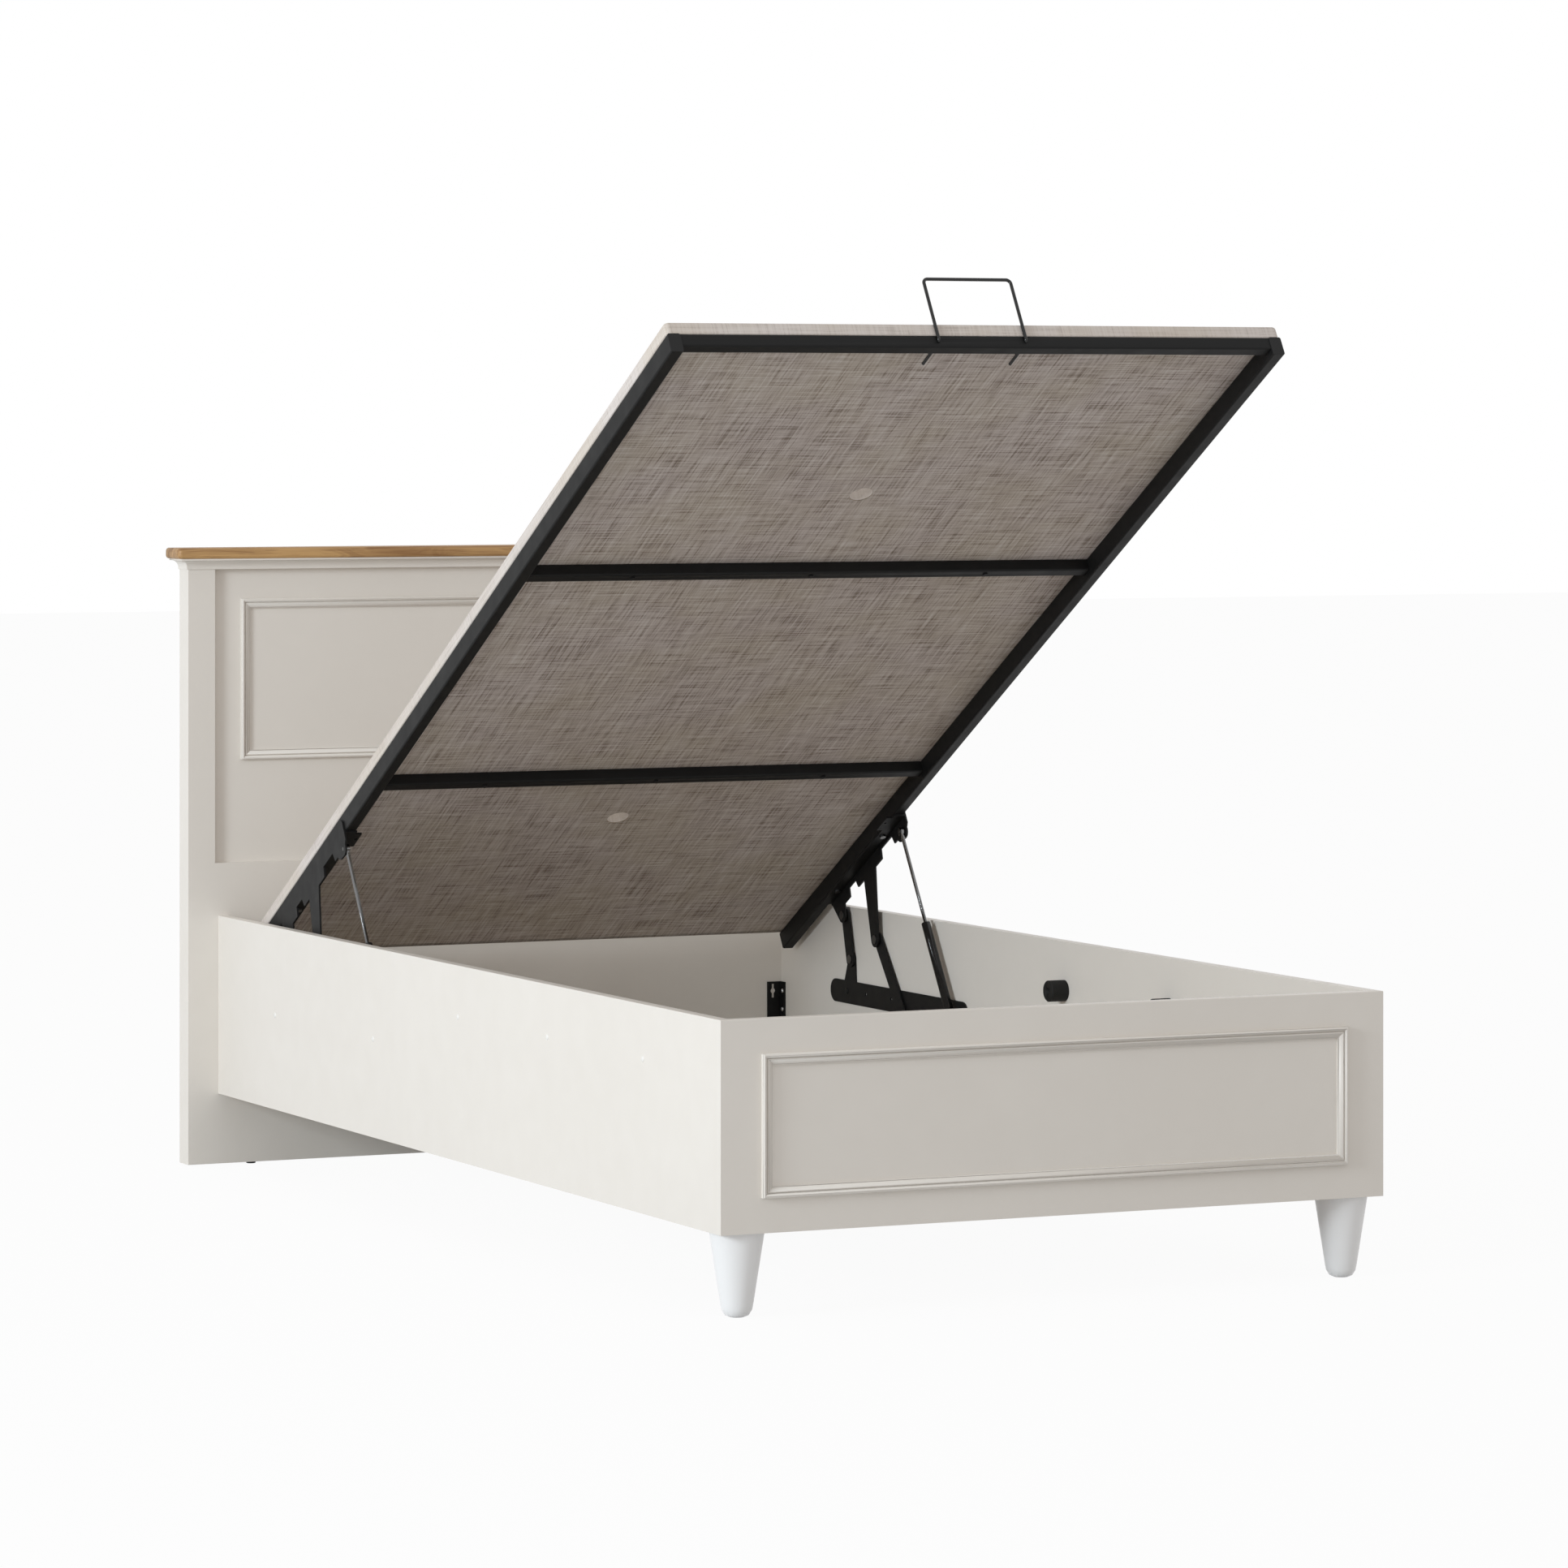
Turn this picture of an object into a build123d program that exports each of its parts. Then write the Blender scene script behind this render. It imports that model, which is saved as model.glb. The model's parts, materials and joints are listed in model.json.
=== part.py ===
from build123d import *
from math import atan2, cos, degrees, hypot, radians, sin, sqrt
import os

# Storage bed for a 1000 x 2000 mm mattress, with a panelled headboard and a lift-up lid.
# The lid stands open here. X runs across the bed, Y from foot to head, Z up from the floor.

# Box
mattress_width = 1000.0
mattress_length = 2000.0
mattress_play_across = 22.0
mattress_play_along = 10.0
board_thickness = 18.0
rail_height = 298.0
box_clearance_height = 120.0
arris_radius = 1.2

# Headboard
headboard_overlap = 54.0
post_depth = 42.0
stile_width = 48.0
post_seat_width = 29.0
lower_board_top = 506.0
headboard_height = 1034.0
upper_panel_thickness = 12.0
upper_panel_recess = 12.0
panel_groove_depth = 8.0
panel_play = 1.0
back_rail_height = 60.0
oak_thickness = 18.0
oak_overhang = 24.0
oak_edge_radius = 7.0
cornice_height = 18.0
cornice_flare = 18.0
glide_diameter = 16.0
glide_height = 3.0
glide_inset = 115.0

# Mouldings
moulding_width = 16.0
moulding_proud = 8.0
moulding_bead = 6.0
foot_moulding_side_margin = 62.0
foot_moulding_edge_margin = 49.0
panel_moulding_margin = 50.0
panel_moulding_low_margin = 172.0

# Front feet
foot_top_diameter = 78.0
foot_low_diameter = 47.0
foot_round_height = 21.0
foot_tip_diameter = 20.0
foot_inset = 6.0
foot_plate_thickness = 2.5
foot_stud_diameter = 8.0
foot_stud_depth = 20.0

# Box floor
cleat_height = 20.0
cleat_depth = 18.0
cleat_lift = 2.5
floor_thickness = 8.0
floor_play = 2.0
floor_joint_gap = 1.0
bearer_width = 60.0

# Corner brackets
corner_leg = 27.0
corner_rail_leg = 19.0
corner_bracket_height = 64.0
corner_bracket_thickness = 2.0
corner_bracket_top_below_rail = 149.0
keyhole_round = 9.0
keyhole_slot = 4.5
keyhole_reach = 24.0
screw_diameter = 4.0
screw_head_diameter = 8.0
screw_head_height = 2.2
screw_length = 14.0

# Rail fixings
cap_diameter = 9.0
cap_height = 1.6
bolt_diameter = 6.0
bolt_head_diameter = 12.0
bolt_head_height = 1.8
bolt_head_recess = 1.8
buffer_diameter = 34.0
buffer_length = 30.0
buffer_bore = 8.0
buffer_face_recess = 14.0
buffer_centre_below_rail = 78.0
buffer_first = 267.0
buffer_pitch = 348.5
buffer_count = 3

# Lid
lid_play_across = 12.0
lid_play_along = 9.0
tube_width = 20.0
tube_height = 30.0
tube_wall = 1.5
tube_corner = 3.0
member_side = 20.0
platform_thickness = 20.0
cloth_thickness = 1.0
cloth_edge_radius = 6.0
vent_diameter = 37.0
vent_from_end = 463.0
cross_member_from_foot = 680.0
cross_member_pitch = 681.0
platform_screw_pitch = 300.0
platform_screw_depth = 12.0
plug_depth = 12.0
plug_lip = 1.0
lid_open_angle = 30.5

# Mattress retainer
retainer_rod = 5.0
retainer_width = 142.0
retainer_rise = 74.0
retainer_bend = 7.0
retainer_stub = 14.0

# Lift mechanism, measured along the bed from the head board and up from the rail's bottom edge
plate_thickness = 2.5
link_thickness = 3.5
bracket_thickness = 3.0
link_side_gap = 0.5
front_pivot_from_head = 554.0
front_pivot_height = 55.0
rear_pivot_from_head = 290.0
rear_pivot_height = 210.0
strut_stud_from_head = 691.0
strut_stud_height = 150.0
rear_bolt_from_head = 271.0
tip_bolt_from_head = 710.0
plate_bolt_height = 154.5
plate_low_edge = 133.0
plate_top_edge = 172.0
rear_link_length = 76.1
rear_link_open_angle = 75.3
rear_link_width = 27.0
front_link_width = 26.0
pivot_diameter = 8.0
pivot_play = 0.05
pivot_head_diameter = 15.0
pivot_head_height = 1.5
pivot_shoulder_diameter = 18.0
pivot_end_gap = 0.2
open_pivot_play = 2.6

# Lid bracket, measured from the lid's head end and from the tube's lower face
bracket_rear_pivot_from_end = 203.0
bracket_rear_pivot_drop = 38.0
bracket_front_pivot_from_end = 296.0
bracket_front_pivot_drop = 130.0
bracket_strut_pivot_from_end = 487.0
bracket_strut_pivot_drop = 23.5
bracket_foot_end_from_end = 505.0
bracket_head_end_from_end = 175.0
bracket_web_rise = 22.0
bracket_web_drop = 25.0
bracket_tab_reach = 10.5
bracket_tab_length = 44.0
bracket_bolt_diameter = 6.0

# Gas struts
strut_tube_diameter = 15.0
strut_rod_diameter = 6.0
strut_tube_length = 170.0
strut_rod_length = 188.0
strut_tube_wall = 1.2
strut_slide_play = 0.1
strut_neck_length = 6.0
strut_floor_depth = 14.0
strut_piston_length = 3.0
strut_pin_diameter = 6.0
strut_spacer_diameter = 10.8
strut_eye_diameter = 14.0
strut_eye_thickness = 6.0
strut_stand_off = 16.0
strut_stud_gap = 0.4

# Derived sizes of the box
inner_width = mattress_width + mattress_play_across
inner_length = mattress_length + mattress_play_along
box_width = inner_width + 2 * board_thickness
head_face = inner_length + board_thickness
headboard_width = box_width + 2 * headboard_overlap
headboard_back = head_face + post_depth
oak_width = headboard_width + 2 * oak_overhang
box_low = box_clearance_height
rail_top = box_low + rail_height
foot_centre_inset = foot_inset + foot_top_diameter / 2
oak_low = headboard_height - oak_thickness
post_top = oak_low - cornice_height
buffer_centre = rail_top - buffer_centre_below_rail

# The frame's origin lies midway between the foot moulding's face and the headboard's back
origin_y = (headboard_back - moulding_proud) / 2

# Derived sizes of the lid, in the lid's own frame: along from its foot end, up from the tube's lower face
lid_width = inner_width - 2 * lid_play_across
lid_length = inner_length - 2 * lid_play_along
tube_outer = lid_width / 2
rail_inner = inner_width / 2
cloth_low = tube_height
cloth_high = tube_height + platform_thickness

# The layers of the lift mechanism, as distances inward from the rail's inner face
plate_face = plate_thickness
link_near = plate_face + link_side_gap
link_far = link_near + link_thickness
bracket_far = lid_play_across
bracket_near = bracket_far - bracket_thickness

# Where the pivots are on the box, along the bed and up
rear_base = (head_face - rear_pivot_from_head, box_low + rear_pivot_height)
front_base = (head_face - front_pivot_from_head, box_low + front_pivot_height)
strut_base = (head_face - strut_stud_from_head, box_low + strut_stud_height)

# Where they are on the lid
rear_lid = (lid_length - bracket_rear_pivot_from_end, -bracket_rear_pivot_drop)
front_lid = (lid_length - bracket_front_pivot_from_end, -bracket_front_pivot_drop)
strut_lid = (lid_length - bracket_strut_pivot_from_end, -bracket_strut_pivot_drop)

# The open rear link carries the lid, which fixes where the lid's own frame is
tilt = radians(lid_open_angle)
rear_open = (
    rear_base[0] + rear_link_length * cos(radians(rear_link_open_angle)),
    rear_base[1] + rear_link_length * sin(radians(rear_link_open_angle)),
)
lid_foot = (
    rear_open[0] - rear_lid[0] * cos(tilt) - rear_lid[1] * sin(tilt),
    rear_open[1] + rear_lid[0] * sin(tilt) - rear_lid[1] * cos(tilt),
)


# Where a point of the open lid is, along the bed and up from the floor
def lid_point(along, up):
    y = lid_foot[0] + along * cos(tilt) + up * sin(tilt)
    z = lid_foot[1] - along * sin(tilt) + up * cos(tilt)
    return (y, z)


front_open = lid_point(*front_lid)
strut_open = lid_point(*strut_lid)


# A block between two limits on each axis
def block(x_limits, y_limits, z_limits):
    size = [high - low for low, high in (x_limits, y_limits, z_limits)]
    middle = [(high + low) / 2 for low, high in (x_limits, y_limits, z_limits)]
    return Pos(*middle) * Box(*size)


# A round rod between two points
def rod(start, end, diameter):
    path = Vector(*end) - Vector(*start)
    plane = Plane(origin=start, z_dir=path)
    return extrude(plane * Circle(diameter / 2), path.length)


# A turned piece on an axis across the bed: pairs of limits on X with a diameter
def turned_across(y, z, *steps):
    piece = rod((steps[0][0], y, z), (steps[0][1], y, z), steps[0][2])
    for low, high, diameter in steps[1:]:
        piece += rod((low, y, z), (high, y, z), diameter)
    return piece


# Edges that lie on a level and run along an axis
def level_edges(solid, axis, level):
    return [edge for edge in solid.edges().filter_by(axis) if abs(edge.center().Z - level) < 0.01]


def mirrored(piece):
    return mirror(piece, about=Plane.YZ)


# A flat outline with rounded ends of two sizes, such as a tapered link or a lobe
def tapered_bar(start, start_radius, end, end_radius):
    length = hypot(end[0] - start[0], end[1] - start[1])
    turn = atan2(end[1] - start[1], end[0] - start[0])
    lean = (start_radius - end_radius) / length
    rise = sqrt(1 - lean * lean)
    corners = []
    for middle, radius, side in (
        (0, start_radius, 1),
        (length, end_radius, 1),
        (length, end_radius, -1),
        (0, start_radius, -1),
    ):
        corners.append((middle + radius * lean, side * radius * rise))
    body = make_face(Polyline(*corners, close=True))
    body += Circle(start_radius)
    body += Pos(length, 0) * Circle(end_radius)
    return Pos(*start) * Rot(0, 0, degrees(turn)) * body


# An outline drawn in Y and Z on the left side, made into a plate between two distances from the rail
def side_plate(outline, near, far):
    return extrude(Plane.YZ.offset(-rail_inner + near) * outline, far - near)


# Places a piece modelled in the lid's own frame on the open lid
def on_lid(piece):
    return Pos(0, *lid_foot) * Rot(-lid_open_angle, 0, 0) * piece


def left_face(distance):
    return -rail_inner + distance


# Box boards

def side_rail():
    outer = -box_width / 2
    plan = Polyline(
        (outer, 0),
        (outer, head_face),
        (-rail_inner, head_face),
        (-rail_inner, board_thickness),
        close=True,
    )
    rail = extrude(Pos(0, 0, box_low) * make_face(plan), rail_height)
    rail = fillet(level_edges(rail, Axis.Y, rail_top), arris_radius)
    for y, z, shank in rail_fixings():
        rail -= rod((outer, y, z), (-rail_inner, y, z), shank)
    return rail


def rail_fixings():
    places = []
    for number in range(buffer_count):
        places.append((buffer_first + number * buffer_pitch, buffer_centre, bolt_diameter))
    for from_head in (tip_bolt_from_head, rear_bolt_from_head):
        places.append((head_face - from_head, box_low + plate_bolt_height, bolt_diameter))
    return places


def foot_board():
    plan = Polyline(
        (-box_width / 2, 0),
        (box_width / 2, 0),
        (rail_inner, board_thickness),
        (-rail_inner, board_thickness),
        close=True,
    )
    board = extrude(Pos(0, 0, box_low) * make_face(plan), rail_height)
    return fillet(level_edges(board, Axis.X, rail_top), arris_radius)


# A picture-frame moulding: bead, quirk and a falling ogee, seen from its outer edge inward
def moulding_profile():
    bead_top = moulding_proud
    bead_side = moulding_proud * 0.6
    quirk = moulding_proud * 0.5
    step = moulding_proud * 0.7
    low = moulding_proud * 0.4
    quirk_width = moulding_width * 0.08
    outline = Polyline((moulding_width, 0), (0, 0), (0, bead_side))
    outline += ThreePointArc((0, bead_side), (moulding_bead / 2, bead_top), (moulding_bead, bead_side))
    outline += Polyline(
        (moulding_bead, bead_side),
        (moulding_bead, quirk),
        (moulding_bead + quirk_width, quirk),
        (moulding_bead + quirk_width, step),
    )
    outline += ThreePointArc(
        (moulding_bead + quirk_width, step),
        (moulding_width * 0.72, step),
        (moulding_width * 0.92, low),
    )
    outline += Polyline((moulding_width * 0.92, low), (moulding_width, low), (moulding_width, 0))
    return make_face(outline)


# One mitred length: its outer edge lies on local X, the profile rises toward the viewer
def moulding_length(length):
    bar = extrude(Plane.YZ.offset(-length / 2) * moulding_profile(), length)
    half = length / 2
    mitre = Polyline((-half, 0), (half, 0), (half - moulding_width, moulding_width),
                     (moulding_width - half, moulding_width), close=True)
    return bar & extrude(make_face(mitre), moulding_proud)


# A rectangular moulding frame on a face that looks toward the foot
def moulding_frame(width, height, face_y, middle_z):
    bars = []
    for turn in (0, 90, 180, 270):
        length, reach = (height, width) if turn % 180 else (width, height)
        bar = Rot(0, 0, turn) * Pos(0, -reach / 2, 0) * moulding_length(length)
        bars.append(Pos(0, face_y, middle_z) * Rot(90, 0, 0) * bar)
    return bars


def foot_board_moulding():
    width = box_width - 2 * foot_moulding_side_margin
    height = rail_height - 2 * foot_moulding_edge_margin
    return moulding_frame(width, height, 0, box_low + rail_height / 2)


# Headboard

def headboard_post():
    outer = -headboard_width / 2
    inner = outer + stile_width
    post = block((outer, inner), (head_face, headboard_back), (glide_height, post_top))
    front_edge = [edge for edge in post.edges().filter_by(Axis.Z) if edge.center().X < outer + 1]
    post = fillet(front_edge, arris_radius)
    seat = block(
        (outer + post_seat_width, inner),
        (head_face, head_face + board_thickness),
        (glide_height, lower_board_top),
    )
    groove_front = head_face + upper_panel_recess
    groove = block(
        (inner - panel_groove_depth, inner),
        (groove_front, groove_front + upper_panel_thickness),
        (lower_board_top, post_top),
    )
    return post - seat - groove


def headboard_lower_board():
    half = headboard_width / 2 - post_seat_width
    return block(
        (-half, half),
        (head_face, head_face + board_thickness),
        (glide_height, lower_board_top),
    )


def headboard_upper_panel():
    half = headboard_width / 2 - stile_width + panel_groove_depth - panel_play
    front = head_face + upper_panel_recess
    return block((-half, half), (front, front + upper_panel_thickness), (lower_board_top, post_top))


def headboard_back_rails():
    half = headboard_width / 2 - stile_width
    panel_back = head_face + upper_panel_recess + upper_panel_thickness
    low = block(
        (-half, half),
        (head_face + board_thickness, headboard_back),
        (lower_board_top - back_rail_height, lower_board_top),
    )
    high = block((-half, half), (panel_back, headboard_back), (post_top - back_rail_height, post_top))
    return low + high


def headboard_panel_moulding():
    width = headboard_width - 2 * stile_width - 2 * panel_moulding_margin
    low = lower_board_top + panel_moulding_low_margin
    high = post_top - panel_moulding_margin
    return moulding_frame(width, high - low, head_face + upper_panel_recess, (low + high) / 2)


# Flare of the cornice against height, as an outline with a cove between two flat edges
def cornice_outline(half_width):
    lip = cornice_height * 0.16
    foot_step = cornice_flare * 0.12
    low = post_top
    bend_x = half_width + cornice_flare * 0.32
    bend_z = post_top + cornice_height * 0.62
    right = Polyline((0, low), (half_width + foot_step, low), (half_width + foot_step, low + lip))
    right += ThreePointArc(
        (half_width + foot_step, low + lip),
        (bend_x, bend_z),
        (half_width + cornice_flare, oak_low - lip),
    )
    right += Polyline(
        (half_width + cornice_flare, oak_low - lip),
        (half_width + cornice_flare, oak_low),
        (0, oak_low),
        (0, low),
    )
    return make_face(right)


def headboard_cornice():
    sides = cornice_outline(headboard_width / 2)
    sides += mirror(sides, about=Plane.YZ)
    across = extrude(Plane.XZ.offset(-headboard_back) * sides, post_depth + cornice_flare + 1)
    depth = headboard_back - head_face
    profile = Pos(headboard_back, 0) * mirror(cornice_outline(depth), about=Plane.YZ)
    along = extrude(Plane.YZ.offset(-oak_width / 2) * profile, oak_width)
    return across & along


def headboard_oak_top():
    half = oak_width / 2
    top = block((-half, half), (head_face - oak_overhang, headboard_back), (oak_low, headboard_height))
    corners = [edge for edge in top.edges().filter_by(Axis.Z) if edge.center().Y < head_face]
    top = fillet(corners, oak_edge_radius)
    rim = [
        edge for edge in top.edges()
        if abs(edge.bounding_box().size.Z) < 0.01 and edge.center().Y < headboard_back - 1
    ]
    return fillet(rim, oak_edge_radius * 0.8)


def headboard_glides():
    glides = []
    y = head_face + board_thickness / 2
    for side in (-1, 1):
        x = side * (headboard_width / 2 - glide_inset)
        glide = rod((x, y, 0), (x, y, glide_height), glide_diameter)
        glides.append(chamfer(level_circles(glide, 0), 0.8))
    return glides


def level_circles(solid, level):
    return [edge for edge in solid.edges() if abs(edge.center().Z - level) < 0.01 and edge.geom_type == GeomType.CIRCLE]


# Front feet and what holds them

def foot_centre_left():
    return (-box_width / 2 + foot_centre_inset, foot_centre_inset)


def front_foot():
    top = foot_top_diameter / 2
    low = foot_low_diameter / 2
    tip = foot_tip_diameter / 2
    outline = Polyline(
        (0, 0),
        (tip, 0),
        (tip + (low - tip) * 0.5, foot_round_height * 0.13),
        (tip + (low - tip) * 0.85, foot_round_height * 0.48),
        (low, foot_round_height),
        (top, box_low),
        (0, box_low),
        close=True,
    )
    foot = revolve(Plane.XZ * make_face(outline), Axis.Z)
    foot -= rod((0, 0, box_low - foot_stud_depth), (0, 0, box_low), foot_stud_diameter)
    return Pos(*foot_centre_left(), 0) * foot


def foot_plate_limits():
    half = foot_centre_inset - board_thickness
    x, y = foot_centre_left()
    return (x - half, x + half), (y - half, y + half)


def foot_mounting_plate():
    x_limits, y_limits = foot_plate_limits()
    plate = block(x_limits, y_limits, (box_low, box_low + foot_plate_thickness))
    return plate - foot_stud()


def foot_corner_block():
    x_limits, y_limits = foot_plate_limits()
    top = box_low + cleat_lift + cleat_height
    return block(x_limits, y_limits, (box_low + foot_plate_thickness, top)) - foot_stud()


def foot_stud():
    x, y = foot_centre_left()
    top = box_low + cleat_lift + cleat_height
    return rod((x, y, box_low - foot_stud_depth), (x, y, top), foot_stud_diameter)


# Floor of the box

def floor_cleats():
    low = box_low + cleat_lift
    high = low + cleat_height
    block_end = foot_centre_inset * 2 - board_thickness
    side = block((-rail_inner, cleat_depth - rail_inner), (block_end, head_face), (low, high))
    half = box_width / 2 - block_end
    foot = block((-half, half), (board_thickness, board_thickness + cleat_depth), (low, high))
    inner = rail_inner - cleat_depth
    head = block((-inner, inner), (head_face - cleat_depth, head_face), (low, high))
    return [side, mirrored(side), foot, head]


def floor_bearer():
    low = box_low + cleat_lift
    middle = board_thickness + inner_length / 2
    half = rail_inner - cleat_depth
    return block((-half, half), (middle - bearer_width / 2, middle + bearer_width / 2), (low, low + cleat_height))


def floor_panel(start, end):
    low = box_low + cleat_lift + cleat_height
    half = rail_inner - floor_play
    return block((-half, half), (start, end), (low, low + floor_thickness))


# Corner brackets

# An angle in the corner at the origin: one leg along X, one along Y toward the foot
def corner_angle(keyhole):
    along_x = block((0, corner_leg), (-corner_bracket_thickness, 0), (0, corner_bracket_height))
    along_y = block((0, corner_bracket_thickness), (-corner_rail_leg, 0), (0, corner_bracket_height))
    angle = along_x + along_y
    for z in corner_screw_heights():
        angle -= rod((0, -corner_rail_leg / 2, z), (corner_bracket_thickness, -corner_rail_leg / 2, z), screw_diameter)
        if not keyhole:
            angle -= rod((corner_leg / 2 + 1, -corner_bracket_thickness, z), (corner_leg / 2 + 1, 0, z), screw_diameter)
    if keyhole:
        middle = corner_bracket_height - keyhole_reach / 2 - 4
        x = corner_leg / 2 + 3
        angle -= rod((x, -corner_bracket_thickness, middle), (x, 0, middle), keyhole_round)
        slot = Pos(x, -corner_bracket_thickness / 2, middle)
        angle -= slot * Box(keyhole_slot, corner_bracket_thickness, keyhole_reach)
    return angle


def corner_screw_heights():
    margin = corner_bracket_height / 4
    return (margin, corner_bracket_height - margin)


def head_corner_bracket():
    z = rail_top - corner_bracket_top_below_rail - corner_bracket_height
    return Pos(-rail_inner, head_face, z) * corner_angle(True)


def foot_corner_bracket():
    z = rail_top - corner_bracket_top_below_rail - corner_bracket_height
    flipped = mirror(corner_angle(False), about=Plane.XZ)
    return Pos(-rail_inner, board_thickness, z) * flipped


# A screw pointing along an axis: head on the near side, its shank sunk in the board
def screw(origin, direction):
    head_end = Vector(*origin) - Vector(*direction) * screw_head_height
    tip = Vector(*origin) + Vector(*direction) * screw_length
    shank = rod(origin, tuple(tip), screw_diameter)
    head = rod(tuple(head_end), origin, screw_head_diameter)
    return head + shank


def bracket_screw_places():
    z_low = rail_top - corner_bracket_top_below_rail - corner_bracket_height
    inner = -rail_inner + corner_bracket_thickness
    places = []
    for height in corner_screw_heights():
        z = z_low + height
        places.append(((inner, head_face - corner_rail_leg / 2, z), (-1, 0, 0)))
        places.append(((inner, board_thickness + corner_rail_leg / 2, z), (-1, 0, 0)))
        y = board_thickness + corner_bracket_thickness
        places.append(((-rail_inner + corner_leg / 2 + 1, y, z), (0, -1, 0)))
    return places


def bracket_screws():
    left = [screw(*place) for place in bracket_screw_places()]
    return left + [mirrored(piece) for piece in left]


# Holes for the bracket screws in a board on the left side
def screw_holes(direction):
    holes = []
    for origin, way in bracket_screw_places():
        if way == direction:
            tip = Vector(*origin) + Vector(*way) * screw_length
            holes.append(rod(origin, tuple(tip), screw_diameter))
    return holes


# Fixings in the rails

def rail_screw_caps():
    caps = []
    outer = -box_width / 2
    for y, z, _ in rail_fixings():
        cap = rod((outer - cap_height, y, z), (outer, y, z), cap_diameter)
        rim = [edge for edge in cap.edges().filter_by(GeomType.CIRCLE) if edge.center().X < outer - 0.1]
        caps.append(chamfer(rim, cap_height * 0.6))
    return caps + [mirrored(cap) for cap in caps]


def buffer_places():
    return [(buffer_first + number * buffer_pitch, buffer_centre) for number in range(buffer_count)]


def lid_buffers():
    buffers = []
    for y, z in buffer_places():
        buffer = rod((left_face(0), y, z), (left_face(buffer_length), y, z), buffer_diameter)
        rim = [
            edge for edge in buffer.edges().filter_by(GeomType.CIRCLE)
            if edge.center().X > left_face(buffer_length) - 0.1
        ]
        buffer = chamfer(rim, 1.5)
        buffer -= rod((left_face(0), y, z), (left_face(buffer_length), y, z), bolt_diameter)
        recess = left_face(buffer_length - buffer_face_recess)
        buffer -= rod((recess, y, z), (left_face(buffer_length), y, z), buffer_bore + 4)
        buffers.append(buffer)
    return buffers + [mirrored(buffer) for buffer in buffers]


def buffer_screws():
    screws = []
    seat = left_face(buffer_length - buffer_face_recess)
    outer = -box_width / 2
    for y, z in buffer_places():
        screws.append(turned_across(y, z, (outer, seat, bolt_diameter), (seat, seat + 3, buffer_bore + 3)))
    return screws + [mirrored(piece) for piece in screws]


# Lift mechanism on the box

def plate_bolt_places():
    z = box_low + plate_bolt_height
    return [(head_face - tip_bolt_from_head, z), (head_face - rear_bolt_from_head, z)]


def base_plate_outline():
    middle = box_low + (plate_low_edge + plate_top_edge) / 2
    half = (plate_top_edge - plate_low_edge) / 2
    tip = (plate_bolt_places()[0][0] + 4, middle)
    heel = (plate_bolt_places()[1][0] + 46, middle)
    outline = tapered_bar(tip, half, heel, half)
    rear_foot = (rear_base[0] + 8, middle + 6)
    front_foot_point = (front_base[0] + 24, middle)
    outline += tapered_bar(rear_foot, half + 5, rear_base, pivot_shoulder_diameter / 2 + 4)
    outline += tapered_bar(front_foot_point, half, front_base, pivot_shoulder_diameter / 2 + 4)
    return outline


def lift_base_plate():
    plate = side_plate(base_plate_outline(), 0, plate_face)
    middle = box_low + plate_bolt_height
    spare = [(front_base[0] + 112, middle), (rear_base[0] - 54, middle)]
    for y, z in plate_bolt_places() + spare:
        plate -= rod((left_face(0), y, z), (left_face(plate_face), y, z), bolt_diameter)
    for y, z in (rear_base, front_base):
        plate -= rod((left_face(0), y, z), (left_face(plate_face), y, z), pivot_diameter)
    plate -= rod((left_face(0), *strut_base), (left_face(plate_face), *strut_base), strut_pin_diameter)
    return plate


def base_plate_bolts():
    bolts = []
    outer = -box_width / 2
    for y, z in plate_bolt_places():
        head = left_face(plate_face)
        bolts.append(
            turned_across(y, z, (outer, head, bolt_diameter), (head, head + bolt_head_height, bolt_head_diameter))
        )
    return bolts + [mirrored(bolt) for bolt in bolts]


def base_pivot_pins():
    pins = []
    head = left_face(link_far + pivot_end_gap)
    for y, z in (rear_base, front_base):
        pins.append(
            turned_across(
                y, z,
                (left_face(0), head, pivot_diameter),
                (head, head + pivot_head_height, pivot_head_diameter),
            )
        )
    return pins


# The ball stud that the strut's lower socket faces
def strut_base_stud():
    end = left_face(strut_stand_off - strut_eye_thickness / 2 - strut_stud_gap)
    face = left_face(plate_face)
    y, z = strut_base
    return turned_across(
        y, z,
        (left_face(0), face, strut_pin_diameter),
        (face, face + 2, strut_pin_diameter * 2),
        (face + 2, end, strut_pin_diameter * 1.3),
    )


# Links, in the open pose

def rear_link():
    half = rear_link_width / 2
    link = side_plate(tapered_bar(rear_base, half, rear_open, half), link_near, link_far)
    hole = pivot_diameter + 2 * pivot_play
    for y, z in (rear_base, rear_open):
        link -= rod((left_face(link_near), y, z), (left_face(link_far), y, z), hole)
    return link


def front_link():
    half = front_link_width / 2
    link = side_plate(tapered_bar(front_base, half, front_open, half), link_near, link_far)
    hole = pivot_diameter + 2 * pivot_play
    free_hole = pivot_diameter + 2 * open_pivot_play
    y, z = front_base
    link -= rod((left_face(link_near), y, z), (left_face(link_far), y, z), hole)
    y, z = front_open
    link -= rod((left_face(link_near), y, z), (left_face(link_far), y, z), free_hole)
    return link


# Gas strut, along a line from its lower socket to its upper eye

def strut_point(distance):
    share = distance / strut_span()
    y = strut_base[0] + (strut_open[0] - strut_base[0]) * share
    z = strut_base[1] + (strut_open[1] - strut_base[1]) * share
    return (left_face(strut_stand_off), y, z)


def strut_span():
    return hypot(strut_open[0] - strut_base[0], strut_open[1] - strut_base[1])


def strut_eye(place):
    near = left_face(strut_stand_off - strut_eye_thickness / 2)
    far = left_face(strut_stand_off + strut_eye_thickness / 2)
    return rod((near, *place), (far, *place), strut_eye_diameter)


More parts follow.
